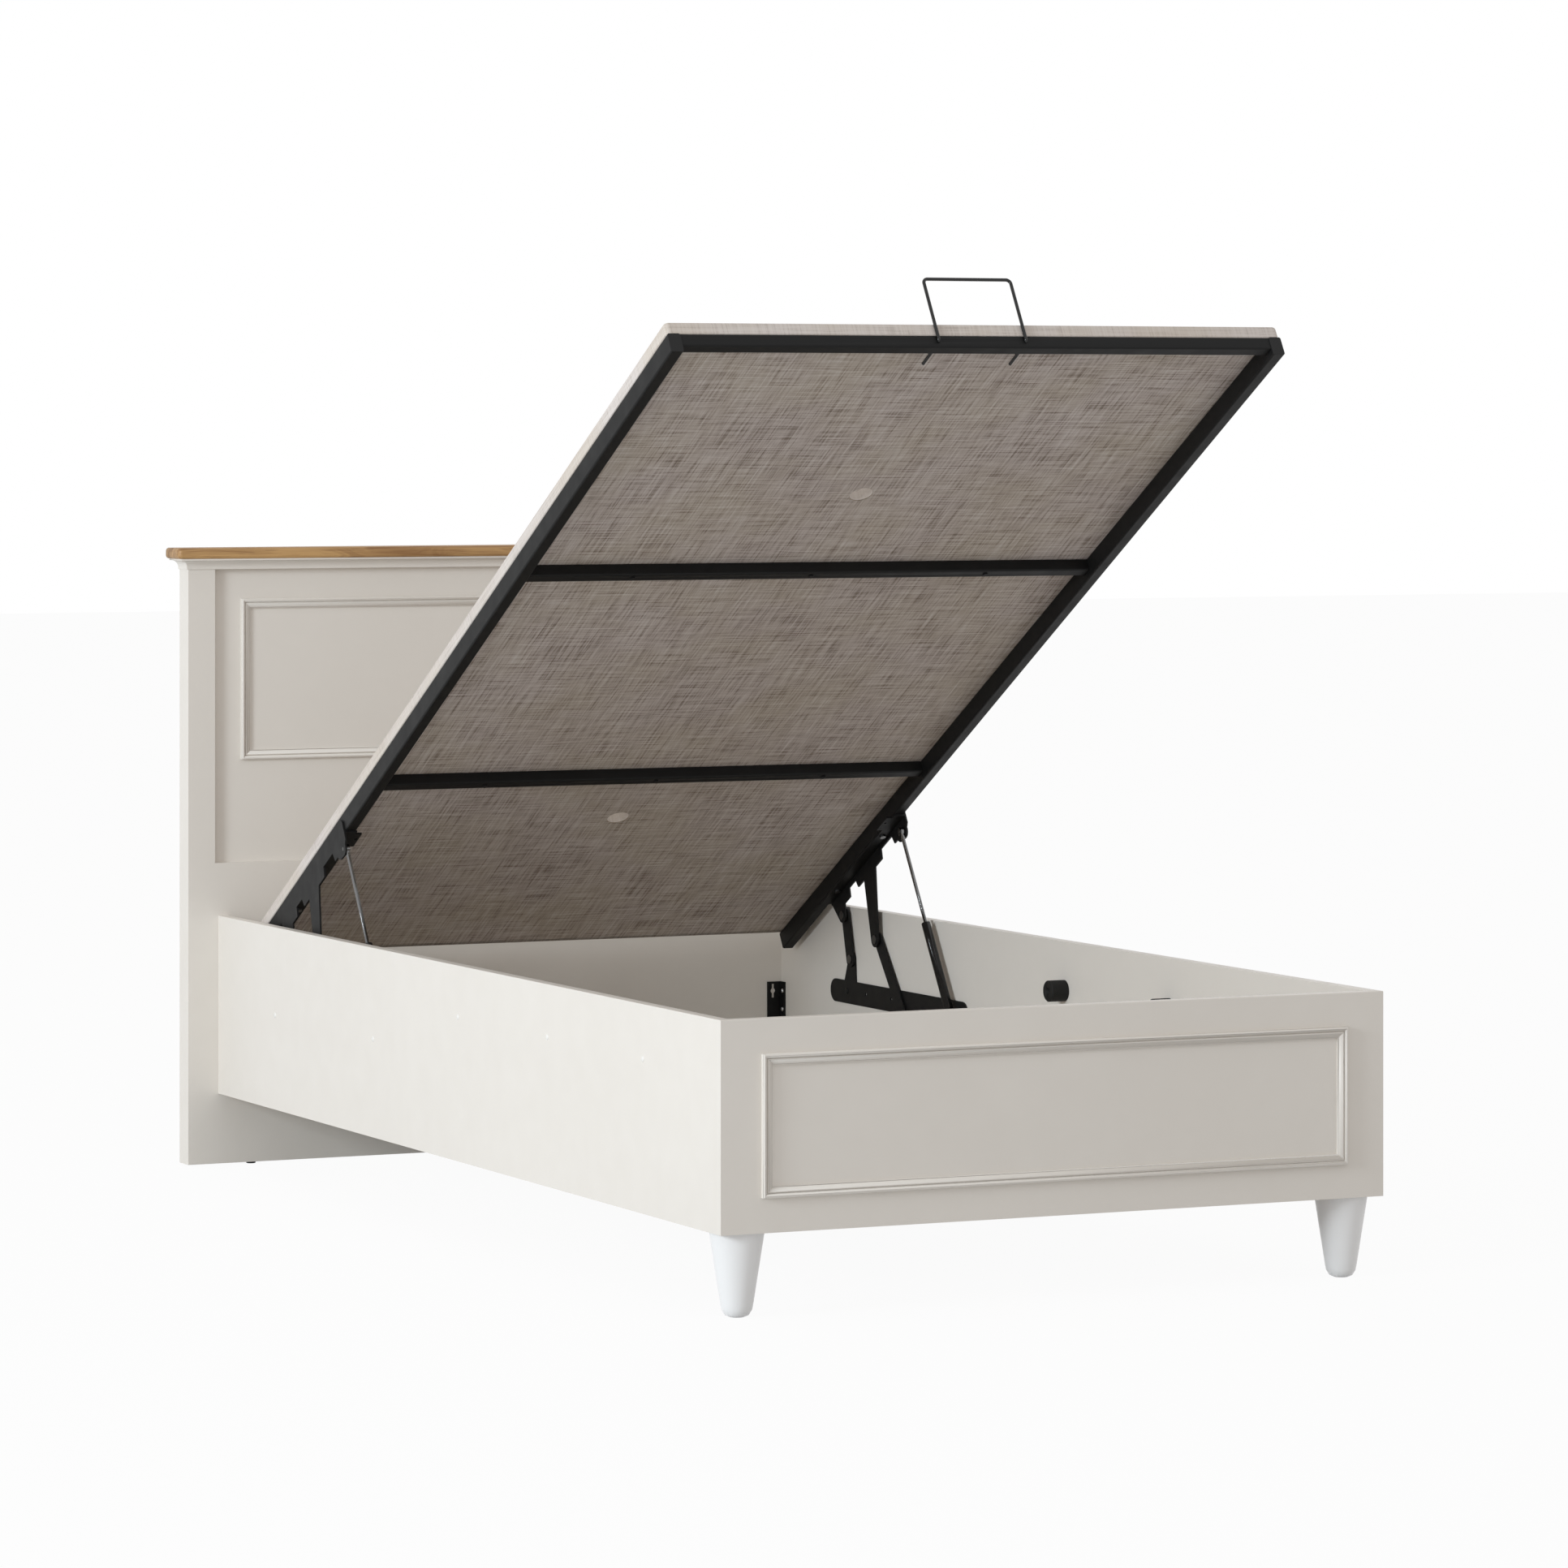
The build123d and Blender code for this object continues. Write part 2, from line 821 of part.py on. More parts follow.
def strut_rod():
    end = strut_span() - strut_rod_length
    bore = strut_tube_diameter - 2 * strut_tube_wall
    near = strut_span() - strut_eye_diameter
    body = rod(strut_point(end), strut_point(near), strut_rod_diameter)
    body += rod(strut_point(end), strut_point(end + strut_piston_length), bore - 2 * strut_slide_play)
    collar_end = strut_span() - strut_spacer_diameter / 2 - link_side_gap
    body += rod(strut_point(near), strut_point(collar_end), strut_rod_diameter * 1.2)
    body += strut_eye(strut_open)
    hole = strut_pin_diameter + 2 * pivot_play
    return body - rod((left_face(0), *strut_open), (left_face(2 * strut_stand_off), *strut_open), hole)


def strut_tube():
    bore = strut_tube_diameter - 2 * strut_tube_wall
    neck = strut_rod_diameter + 2 * strut_slide_play
    foot = strut_floor_depth - strut_tube_wall * 2
    body = rod(strut_point(foot), strut_point(strut_tube_length), strut_tube_diameter)
    body += rod(strut_point(0), strut_point(foot), strut_eye_thickness * 0.9)
    body += strut_eye(strut_base)
    body -= rod(strut_point(strut_floor_depth), strut_point(strut_tube_length - strut_neck_length), bore)
    return body - rod(strut_point(strut_floor_depth), strut_point(strut_tube_length), neck)


# Lid frame, in the lid's own frame

def hollow_bar(length, width, height):
    outer = RectangleRounded(width, height, tube_corner)
    inner = RectangleRounded(width - 2 * tube_wall, height - 2 * tube_wall, tube_corner - tube_wall)
    return extrude(outer - inner, length)


def lid_side_tube():
    bar = Rot(-90, 0, 0) * hollow_bar(lid_length, tube_width, tube_height)
    tube = Pos(-tube_outer + tube_width / 2, 0, tube_height / 2) * bar
    for along in bracket_bolt_places():
        tube -= rod((tube_middle(), along, 0), (tube_middle(), along, tube_wall), bracket_bolt_diameter)
    return tube


def tube_middle():
    return -tube_outer + tube_width / 2


def tube_end_plugs():
    inner_width_here = tube_width - 2 * tube_wall
    inner_height = tube_height - 2 * tube_wall
    plugs = []
    for along, way in ((0, 1), (lid_length, -1)):
        body = extrude(RectangleRounded(inner_width_here, inner_height, tube_corner - tube_wall), plug_depth)
        lip = extrude(Pos(0, 0, -plug_lip) * RectangleRounded(tube_width, tube_height, tube_corner), plug_lip)
        plug = Rot(-90 * way, 0, 0) * (body + lip)
        plugs.append(Pos(tube_middle(), along, tube_height / 2) * plug)
    return plugs + [mirrored(plug) for plug in plugs]


def cross_bar():
    span = lid_width - 2 * tube_width
    return Pos(-span / 2, 0, tube_height - member_side / 2) * Rot(0, 90, 0) * hollow_bar(span, member_side, member_side)


def lid_foot_member():
    bar = Pos(0, member_side / 2, 0) * cross_bar()
    for side in (-1, 1):
        x = side * retainer_width / 2
        bar -= rod((x, 0, retainer_level()), (x, member_side, retainer_level()), retainer_rod)
    return bar


def retainer_level():
    return tube_height - member_side / 2


def cross_member_places():
    return [cross_member_from_foot + number * cross_member_pitch for number in range(2)]


def platform_screw_places():
    places = []
    for along in cross_member_places():
        for number in (-1, 0, 1):
            places.append((number * platform_screw_pitch, along))
    return places


def platform_screw(x, along):
    low = tube_height - member_side
    shank = rod((x, along, low), (x, along, tube_height + platform_screw_depth), screw_diameter)
    return shank, rod((x, along, low - screw_head_height), (x, along, low), screw_head_diameter)


def lid_cross_members():
    bars = [Pos(0, along, 0) * cross_bar() for along in cross_member_places()]
    for x, along in platform_screw_places():
        shank, _ = platform_screw(x, along)
        bars = [bar - shank for bar in bars]
    return bars


def platform_screws():
    pieces = []
    for x, along in platform_screw_places():
        shank, head = platform_screw(x, along)
        pieces.append(shank + head)
    return pieces


# Upholstered platform

def vents():
    holes = []
    for along in (vent_from_end, lid_length - vent_from_end):
        holes.append(rod((0, along, cloth_low - 1), (0, along, cloth_high + 1), vent_diameter))
    return holes


# A board with softened corners, smaller than the lid by the given inset
def platform_shape(inset, low, high):
    half = lid_width / 2 - inset
    board = block((-half, half), (inset, lid_length - inset), (low, high))
    board = fillet(board.edges().filter_by(Axis.Z), cloth_edge_radius - inset)
    rim = [edge for edge in board.edges() if abs(edge.bounding_box().size.Z) < 0.01 and edge.center().Z > high - 0.01]
    return fillet(rim, cloth_edge_radius - inset - 1)


def platform_board():
    board = platform_shape(cloth_thickness, cloth_low + cloth_thickness, cloth_high - cloth_thickness)
    for x, along in platform_screw_places():
        shank, _ = platform_screw(x, along)
        board -= shank
    return board - vents()


def platform_cover():
    cover = platform_shape(0, cloth_low, cloth_high)
    cover -= platform_shape(cloth_thickness, cloth_low + cloth_thickness, cloth_high - cloth_thickness)
    return cover - vents() - lining_sheet()


def lining_sheet():
    half = lid_width / 2 - cloth_thickness
    sheet = block(
        (-half, half),
        (cloth_thickness, lid_length - cloth_thickness),
        (cloth_low, cloth_low + cloth_thickness),
    )
    return fillet(sheet.edges().filter_by(Axis.Z), cloth_edge_radius - cloth_thickness)


def platform_lining():
    sheet = lining_sheet() - vents()
    for x, along in platform_screw_places():
        shank, _ = platform_screw(x, along)
        sheet -= shank
    return sheet


# Steel wire loop at the foot end, held in the foot member
def mattress_retainer():
    half = retainer_width / 2
    front = -retainer_rod / 2 - 0.5
    level = retainer_level()
    top = cloth_high + retainer_rise
    corner = retainer_rod * 0.6
    path = FilletPolyline(
        (-half, member_side + retainer_stub, level),
        (-half, front, level),
        (-half, front, top),
        (half, front, top),
        (half, front, level),
        (half, member_side + retainer_stub, level),
        radius=[corner, retainer_bend, retainer_bend, corner],
    )
    start = Plane(origin=path @ 0, z_dir=path % 0)
    return sweep(start * Circle(retainer_rod / 2), path=path)


# Lift bracket, in the lid's own frame on the left side

def bracket_span():
    return lid_length - bracket_foot_end_from_end, lid_length - bracket_head_end_from_end


def bracket_bolt_places():
    start, end = bracket_span()
    return [start + 74, end - 52]


def bracket_outline():
    start, end = bracket_span()
    web = make_face(Polyline(
        (start, bracket_web_rise - 6),
        (start + 6, bracket_web_rise),
        (end - 6, bracket_web_rise),
        (end, bracket_web_rise - 6),
        (end, -bracket_web_drop * 0.2),
        (end - 20, -bracket_web_drop),
        (start + 10, -bracket_web_drop),
        (start, -bracket_web_drop * 0.6),
        close=True,
    ))
    eye = pivot_shoulder_diameter / 2 + 4
    web += tapered_bar((strut_lid[0] + 14, strut_lid[1] + 2), 13, strut_lid, 12)
    web += tapered_bar((front_lid[0] - 46, -4), 25, front_lid, eye)
    web += tapered_bar((rear_lid[0], -4), 25, rear_lid, eye)
    return web


def lift_bracket():
    start, end = bracket_span()
    near = -rail_inner + bracket_near
    web = extrude(Plane.YZ.offset(near) * bracket_outline(), bracket_thickness)
    tube_face = -tube_outer
    flange = block((near, tube_face + tube_width), (start, end), (-bracket_thickness, 0))
    tab_start = start + 8
    tab = block(
        (tube_face, tube_face + tube_width + bracket_tab_reach),
        (tab_start, tab_start + bracket_tab_length),
        (-bracket_thickness, 0),
    )
    bracket = web + flange + tab
    hole_x = tube_face + tube_width + bracket_tab_reach / 2
    hole_y = tab_start + bracket_tab_length * 0.4
    bracket -= rod((hole_x, hole_y, -bracket_thickness), (hole_x, hole_y, 0), bracket_tab_reach * 0.5)
    for along in bracket_bolt_places():
        bracket -= rod((tube_middle(), along, -bracket_thickness), (tube_middle(), along, 0), bracket_bolt_diameter)
    inner = near + bracket_thickness
    for place in (rear_lid, front_lid):
        bracket -= rod((near, *place), (inner, *place), pivot_diameter)
    bracket -= rod((near, *strut_lid), (inner, *strut_lid), strut_pin_diameter)
    return bracket


def bracket_pins():
    far = left_face(bracket_far)
    near = left_face(bracket_near)
    shoulder = left_face(link_far + pivot_end_gap)
    pieces = []
    for y, z in (rear_lid, front_lid):
        pieces.append(turned_across(
            y, z,
            (left_face(link_near), far, pivot_diameter),
            (shoulder, near, pivot_shoulder_diameter),
            (far, far + pivot_head_height, pivot_head_diameter),
        ))
    eye_near = left_face(strut_stand_off - strut_eye_thickness / 2)
    eye_far = left_face(strut_stand_off + strut_eye_thickness / 2)
    y, z = strut_lid
    pieces.append(turned_across(
        y, z,
        (near, eye_far + pivot_end_gap, strut_pin_diameter),
        (far, eye_near - pivot_end_gap, strut_spacer_diameter),
        (eye_far + pivot_end_gap, eye_far + pivot_end_gap + 1, strut_pin_diameter * 1.6),
    ))
    for along in bracket_bolt_places():
        x = tube_middle()
        bolt = rod((x, along, -bracket_thickness), (x, along, tube_wall + 10), bracket_bolt_diameter)
        bolt += rod((x, along, -bracket_thickness - 3), (x, along, -bracket_thickness), bracket_bolt_diameter * 1.7)
        pieces.append(bolt)
    return pieces


# Writes one node, moved so that the bed's origin is in the middle of its footprint
def write(name, *pieces):
    solids = []
    for piece in pieces:
        for solid in (piece if isinstance(piece, (list, tuple)) else [piece]):
            solids.extend((Pos(0, -origin_y, 0) * solid).solids())
    shape = solids[0] if len(solids) == 1 else Compound(solids)
    export_step(shape, f"parts/{name}.step")


os.makedirs("parts", exist_ok=True)

# Fixed body
rail = side_rail()
for hole in screw_holes((-1, 0, 0)):
    rail -= hole
write("left_rail", rail)
write("right_rail", mirrored(rail))
board = foot_board()
for hole in screw_holes((0, -1, 0)):
    board -= hole
    board -= mirrored(hole)
write("foot_board", board)
write("foot_board_moulding", foot_board_moulding())
write("headboard_post_left", headboard_post())
write("headboard_post_right", mirrored(headboard_post()))
write("headboard_lower_board", headboard_lower_board())
write("headboard_upper_panel", headboard_upper_panel())
write("headboard_back_rails", headboard_back_rails())
write("headboard_panel_moulding", headboard_panel_moulding())
write("headboard_cornice", headboard_cornice())
write("headboard_oak_top", headboard_oak_top())
write("headboard_glides", headboard_glides())
write("front_foot_left", front_foot())
write("front_foot_right", mirrored(front_foot()))
write("foot_mounting_plates", foot_mounting_plate(), mirrored(foot_mounting_plate()))
write("foot_corner_blocks", foot_corner_block(), mirrored(foot_corner_block()))
write("foot_studs", foot_stud(), mirrored(foot_stud()))
write("floor_cleats", floor_cleats())
write("floor_bearer", floor_bearer())
floor_start = board_thickness + floor_play
floor_end = head_face - floor_play
floor_middle = (floor_start + floor_end) / 2
write("floor_panel_foot", floor_panel(floor_start, floor_middle - floor_joint_gap / 2))
write("floor_panel_head", floor_panel(floor_middle + floor_joint_gap / 2, floor_end))
write("head_corner_bracket_left", head_corner_bracket())
write("head_corner_bracket_right", mirrored(head_corner_bracket()))
write("foot_corner_brackets", foot_corner_bracket(), mirrored(foot_corner_bracket()))
write("bracket_screws", bracket_screws())
write("rail_screw_caps", rail_screw_caps())
write("lid_buffers", lid_buffers())
write("buffer_screws", buffer_screws())
write("lift_base_plate_left", lift_base_plate())
write("lift_base_plate_right", mirrored(lift_base_plate()))
write("base_plate_bolts", base_plate_bolts())
write("base_pivot_pins_left", base_pivot_pins())
write("base_pivot_pins_right", [mirrored(pin) for pin in base_pivot_pins()])
write("strut_base_studs", strut_base_stud(), mirrored(strut_base_stud()))

# Lid
write("lid_side_tube_left", on_lid(lid_side_tube()))
write("lid_side_tube_right", on_lid(mirrored(lid_side_tube())))
write("tube_end_plugs", [on_lid(plug) for plug in tube_end_plugs()])
write("lid_foot_member", on_lid(lid_foot_member()))
write("lid_cross_members", [on_lid(bar) for bar in lid_cross_members()])
write("platform_board", on_lid(platform_board()))
write("platform_cover", on_lid(platform_cover()))
write("platform_lining", on_lid(platform_lining()))
write("platform_screws", [on_lid(piece) for piece in platform_screws()])
write("mattress_retainer", on_lid(mattress_retainer()))
write("lift_bracket_left", on_lid(lift_bracket()))
write("lift_bracket_right", on_lid(mirrored(lift_bracket())))
write("bracket_pins_left", [on_lid(pin) for pin in bracket_pins()])
write("bracket_pins_right", [on_lid(mirrored(pin)) for pin in bracket_pins()])

# Links and struts
write("rear_link_left", rear_link())
write("rear_link_right", mirrored(rear_link()))
write("front_link_left", front_link())
write("front_link_right", mirrored(front_link()))
write("strut_rod_left", strut_rod())
write("strut_rod_right", mirrored(strut_rod()))
write("strut_tube_left", strut_tube())
write("strut_tube_right", mirrored(strut_tube()))
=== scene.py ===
import json
import math
import bpy
import bmesh
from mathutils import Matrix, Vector


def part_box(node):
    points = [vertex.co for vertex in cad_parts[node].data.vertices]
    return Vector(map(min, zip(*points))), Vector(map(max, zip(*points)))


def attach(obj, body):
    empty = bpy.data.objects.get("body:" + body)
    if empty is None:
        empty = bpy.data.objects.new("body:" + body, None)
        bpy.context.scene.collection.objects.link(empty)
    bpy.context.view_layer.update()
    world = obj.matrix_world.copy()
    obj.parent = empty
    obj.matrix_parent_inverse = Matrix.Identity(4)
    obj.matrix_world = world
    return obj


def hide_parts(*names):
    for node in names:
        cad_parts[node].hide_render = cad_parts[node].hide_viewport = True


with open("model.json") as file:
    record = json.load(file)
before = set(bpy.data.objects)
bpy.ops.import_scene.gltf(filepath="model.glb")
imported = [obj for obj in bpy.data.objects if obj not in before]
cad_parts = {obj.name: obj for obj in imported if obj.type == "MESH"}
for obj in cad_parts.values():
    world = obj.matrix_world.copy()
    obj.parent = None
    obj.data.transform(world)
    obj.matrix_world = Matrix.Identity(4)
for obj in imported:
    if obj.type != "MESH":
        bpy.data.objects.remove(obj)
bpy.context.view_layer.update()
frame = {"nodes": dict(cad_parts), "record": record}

nodes = frame["nodes"]
bodyOf = {node: body for body, members in frame["record"]["behaviour"]["bodies"].items() for node in members}
slotOf = {part["node"]: part["material_slot"] for part in frame["record"]["subparts"]}
slotOf.update({
    "head_corner_bracket_left": "black_steel",
    "head_corner_bracket_right": "black_steel",
    "foot_corner_brackets": "black_steel",
    "base_plate_bolts": "black_steel",
    "platform_screws": "black_steel",
    "mattress_retainer": "black_cylinder",
})  # finishes that these pieces have to the eye
print("frame loaded:", len(nodes), "nodes")


# Camera, floor and light

cameraView = {
    "place": (-4.1254, -8.9216, 1.2461),
    "heading": -25.08,  # degrees, turned from the bed's length toward its right side
    "lens": 144.08,
    "shiftDown": -0.23148,
}

studio = {
    "floorSize": 60.0,
    "floorColour": (0.66, 0.66, 0.66),
    "floorShadow": 0.05,  # how much of the floor's own shading the camera sees
    "roomStrength": 0.68,
    "roomColour": (1.0, 0.975, 0.955),
    "keyPlace": (-7.5, -2.25, 2.3),
    "keySize": 2.2,
    "keyPower": 325.0,
    "keyColour": (0.86, 0.94, 1.0),
}


def makeCamera():
    data = bpy.data.cameras.new("studioCamera")
    data.sensor_fit = "HORIZONTAL"
    data.sensor_width = 36.0
    data.lens = cameraView["lens"]
    data.shift_y = cameraView["shiftDown"]
    data.clip_start = 0.1
    data.clip_end = 200.0
    camera = bpy.data.objects.new("studioCamera", data)
    camera.location = cameraView["place"]
    camera.rotation_euler = (math.radians(90), 0, math.radians(cameraView["heading"]))
    bpy.context.scene.collection.objects.link(camera)
    bpy.context.scene.camera = camera


# 1 for rays that look, reflect or pass through, so that all of them find the white backdrop
def seenShare(tree):
    path = tree.nodes.new("ShaderNodeLightPath")
    total = path.outputs["Is Camera Ray"]
    for label in ("Is Glossy Ray", "Is Transmission Ray"):
        either = tree.nodes.new("ShaderNodeMath")
        either.operation = "MAXIMUM"
        tree.links.new(total, either.inputs[0])
        tree.links.new(path.outputs[label], either.inputs[1])
        total = either.outputs[0]
    return total


def makeFloor():
    half = studio["floorSize"] / 2
    mesh = bpy.data.meshes.new("studioFloor")
    mesh.from_pydata([(-half, -half, 0), (half, -half, 0), (half, half, 0), (-half, half, 0)], [], [(0, 1, 2, 3)])
    floor = bpy.data.objects.new("studioFloor", mesh)
    bpy.context.scene.collection.objects.link(floor)
    material = bpy.data.materials.new("studioFloor")
    material.use_nodes = True
    tree = material.node_tree
    tree.nodes.clear()
    output = tree.nodes.new("ShaderNodeOutputMaterial")
    matt = tree.nodes.new("ShaderNodeBsdfDiffuse")
    matt.inputs["Color"].default_value = (*studio["floorColour"], 1)
    glow = tree.nodes.new("ShaderNodeEmission")
    glow.inputs["Color"].default_value = (1, 1, 1, 1)
    share = tree.nodes.new("ShaderNodeMath")
    share.operation = "MULTIPLY"
    share.inputs[1].default_value = 1 - studio["floorShadow"]
    blend = tree.nodes.new("ShaderNodeMixShader")
    tree.links.new(seenShare(tree), share.inputs[0])
    tree.links.new(share.outputs[0], blend.inputs[0])
    tree.links.new(matt.outputs[0], blend.inputs[1])
    tree.links.new(glow.outputs[0], blend.inputs[2])
    tree.links.new(blend.outputs[0], output.inputs["Surface"])
    mesh.materials.append(material)


def makeRoomLight():
    world = bpy.data.worlds.new("studioRoom")
    bpy.context.scene.world = world
    world.use_nodes = True
    tree = world.node_tree
    tree.nodes.clear()
    output = tree.nodes.new("ShaderNodeOutputWorld")
    room = tree.nodes.new("ShaderNodeBackground")
    room.inputs["Color"].default_value = (*studio["roomColour"], 1)
    room.inputs["Strength"].default_value = studio["roomStrength"]
    white = tree.nodes.new("ShaderNodeBackground")
    white.inputs["Color"].default_value = (1, 1, 1, 1)
    blend = tree.nodes.new("ShaderNodeMixShader")
    tree.links.new(seenShare(tree), blend.inputs[0])
    tree.links.new(room.outputs[0], blend.inputs[1])
    tree.links.new(white.outputs[0], blend.inputs[2])
    tree.links.new(blend.outputs[0], output.inputs["Surface"])


def makeKeyLight():
    data = bpy.data.lights.new("keyLight", "AREA")
    data.shape = "DISK"
    data.size = studio["keySize"]
    data.energy = studio["keyPower"]
    data.color = studio["keyColour"]
    lamp = bpy.data.objects.new("keyLight", data)
    lamp.location = studio["keyPlace"]
    aim = Vector((0, -0.1, 0.6)) - Vector(studio["keyPlace"])
    lamp.rotation_euler = aim.to_track_quat("-Z", "Y").to_euler()
    bpy.context.scene.collection.objects.link(lamp)


makeCamera()
makeFloor()
makeRoomLight()
makeKeyLight()
bpy.context.scene.view_settings.view_transform = "Standard"
print("studio set")


# Shader groups that several finishes share

def newGroup(name, inputs, outputs):
    group = bpy.data.node_groups.new(name, "ShaderNodeTree")
    for label, kind, value in inputs:
        socket = group.interface.new_socket(name=label, in_out="INPUT", socket_type="NodeSocket" + kind)
        if value is not None:
            socket.default_value = value
    for label, kind in outputs:
        group.interface.new_socket(name=label, in_out="OUTPUT", socket_type="NodeSocket" + kind)
    return group, group.nodes.new("NodeGroupInput"), group.nodes.new("NodeGroupOutput")


class Wiring:
    def __init__(self, tree):
        self.tree = tree

    def put(self, socket, value):
        if isinstance(value, bpy.types.NodeSocket):
            self.tree.links.new(value, socket)
        else:
            socket.default_value = value

    def maths(self, operation, first, second=0.0, third=None):
        node = self.tree.nodes.new("ShaderNodeMath")
        node.operation = operation
        self.put(node.inputs[0], first)
        self.put(node.inputs[1], second)
        if third is not None:
            self.put(node.inputs[2], third)
        return node.outputs[0]

    def ramp(self, value, low, high, toLow=0.0, toHigh=1.0):
        node = self.tree.nodes.new("ShaderNodeMapRange")
        for place, item in enumerate((value, low, high, toLow, toHigh)):
            self.put(node.inputs[place], item)
        return node.outputs[0]

    def stretch(self, vector, scale):
        node = self.tree.nodes.new("ShaderNodeMapping")
        self.put(node.inputs["Vector"], vector)
        self.put(node.inputs["Scale"], scale)
        return node.outputs[0]

    def noise(self, vector, scale, detail=2.0, roughness=0.5):
        node = self.tree.nodes.new("ShaderNodeTexNoise")
        self.put(node.inputs["Vector"], vector)
        self.put(node.inputs["Scale"], scale)
        self.put(node.inputs["Detail"], detail)
        self.put(node.inputs["Roughness"], roughness)
        return node.outputs[0]

    def mix(self, share, first, second, way="MIX"):
        node = self.tree.nodes.new("ShaderNodeMix")
        node.data_type = "RGBA"
        node.blend_type = way
        self.put(node.inputs[0], share)
        self.put(node.inputs[6], first)
        self.put(node.inputs[7], second)
        return node.outputs[2]

    def split(self, vector):
        node = self.tree.nodes.new("ShaderNodeSeparateXYZ")
        self.put(node.inputs[0], vector)
        return node.outputs

    def join(self, x, y, z):
        node = self.tree.nodes.new("ShaderNodeCombineXYZ")
        for place, item in enumerate((x, y, z)):
            self.put(node.inputs[place], item)
        return node.outputs[0]


def makePaintFilm():  # sprayed film: slow drift in tone, fine orange peel, rubbed spots
    group, given, result = newGroup(
        "paintFilm",
        [
            ("Vector", "Vector", None),
            ("Paint", "Color", (0.8, 0.8, 0.8, 1)),
            ("Tone Drift", "Float", 0.03),
            ("Peel Size", "Float", 260.0),
            ("Sheen Low", "Float", 0.36),
            ("Sheen High", "Float", 0.46),
        ],
        [("Colour", "Color"), ("Roughness", "Float"), ("Height", "Float")],
    )
    wire = Wiring(group)
    drift = wire.noise(given.outputs["Vector"], 2.6, 3.0)
    cloud = wire.noise(given.outputs["Vector"], 21.0, 4.0)
    shade = wire.maths("MULTIPLY_ADD", cloud, 0.4, wire.maths("MULTIPLY", drift, 0.6))
    share = wire.maths("MULTIPLY", wire.ramp(shade, 0.35, 0.65), given.outputs["Tone Drift"])
    wire.put(result.inputs["Colour"], wire.mix(share, given.outputs["Paint"], (0.55, 0.5, 0.43, 1), "MULTIPLY"))
    wire.put(
        result.inputs["Roughness"],
        wire.ramp(cloud, 0.3, 0.7, given.outputs["Sheen Low"], given.outputs["Sheen High"]),
    )
    peel = wire.noise(given.outputs["Vector"], given.outputs["Peel Size"], 2.0)
    wire.put(result.inputs["Height"], peel)
    return group


def makeWeave():  # plain weave with uneven yarns and long slubs both ways
    group, given, result = newGroup(
        "linenWeave",
        [
            ("Vector", "Vector", None),
            ("Yarn", "Color", (0.6, 0.56, 0.5, 1)),
            ("Warm Yarn", "Color", (0.5, 0.44, 0.36, 1)),
            ("Dark Slub", "Color", (0.2, 0.16, 0.12, 1)),
            ("Pale Slub", "Color", (0.9, 0.88, 0.85, 1)),
            ("Threads", "Float", 900.0),
            ("Slub Length", "Float", 12.0),
            ("Contrast", "Float", 1.0),
        ],
        [("Colour", "Color"), ("Roughness", "Float"), ("Height", "Float")],
    )
    wire = Wiring(group)
    across, along, _ = wire.split(given.outputs["Vector"])
    threads = given.outputs["Threads"]
    slub = given.outputs["Slub Length"]
    streaks = []
    for seed, (fine, coarse) in enumerate(((across, along), (along, across))):
        for size, depth in ((0.75, 0.9), (0.3, 1.0)):
            place = wire.join(
                wire.maths("MULTIPLY", fine, wire.maths("MULTIPLY", threads, size)),
                wire.maths("MULTIPLY", coarse, slub),
                3.7 + seed * 11.3 + size * 17,
            )
            streaks.append(wire.maths("MULTIPLY", wire.noise(place, 1.0, 2.0, 0.6), depth))
    total = wire.maths("ADD", wire.maths("ADD", streaks[0], streaks[1]), wire.maths("ADD", streaks[2], streaks[3]))
    cloud = wire.noise(given.outputs["Vector"], 5.0, 3.0)
    total = wire.maths("MULTIPLY_ADD", cloud, 0.35, total)
    dark = wire.maths("MULTIPLY", wire.ramp(total, 2.06, 1.66), given.outputs["Contrast"])
    pale = wire.maths("MULTIPLY", wire.ramp(total, 2.08, 2.5), wire.maths("MULTIPLY", given.outputs["Contrast"], 0.5))
    colour = wire.mix(wire.ramp(cloud, 0.4, 0.62), given.outputs["Yarn"], given.outputs["Warm Yarn"])
    colour = wire.mix(dark, colour, given.outputs["Dark Slub"])
    colour = wire.mix(pale, colour, given.outputs["Pale Slub"])
    turn = wire.maths("MULTIPLY", threads, 2 * math.pi / 1.6)
    warp = wire.maths("SINE", wire.maths("MULTIPLY", across, turn))
    weft = wire.maths("SINE", wire.maths("MULTIPLY", along, turn))
    cross = wire.maths("MULTIPLY", warp, weft)
    grain = wire.ramp(cross, -1.0, 1.0, 0.82, 1.06)
    colour = wire.mix(1.0, colour, wire.join(grain, grain, grain), "MULTIPLY")
    wire.put(result.inputs["Colour"], colour)
    wire.put(result.inputs["Roughness"], wire.ramp(total, 1.6, 2.4, 0.95, 0.82))
    wire.put(result.inputs["Height"], wire.maths("MULTIPLY_ADD", cross, 0.35, total))
    return group


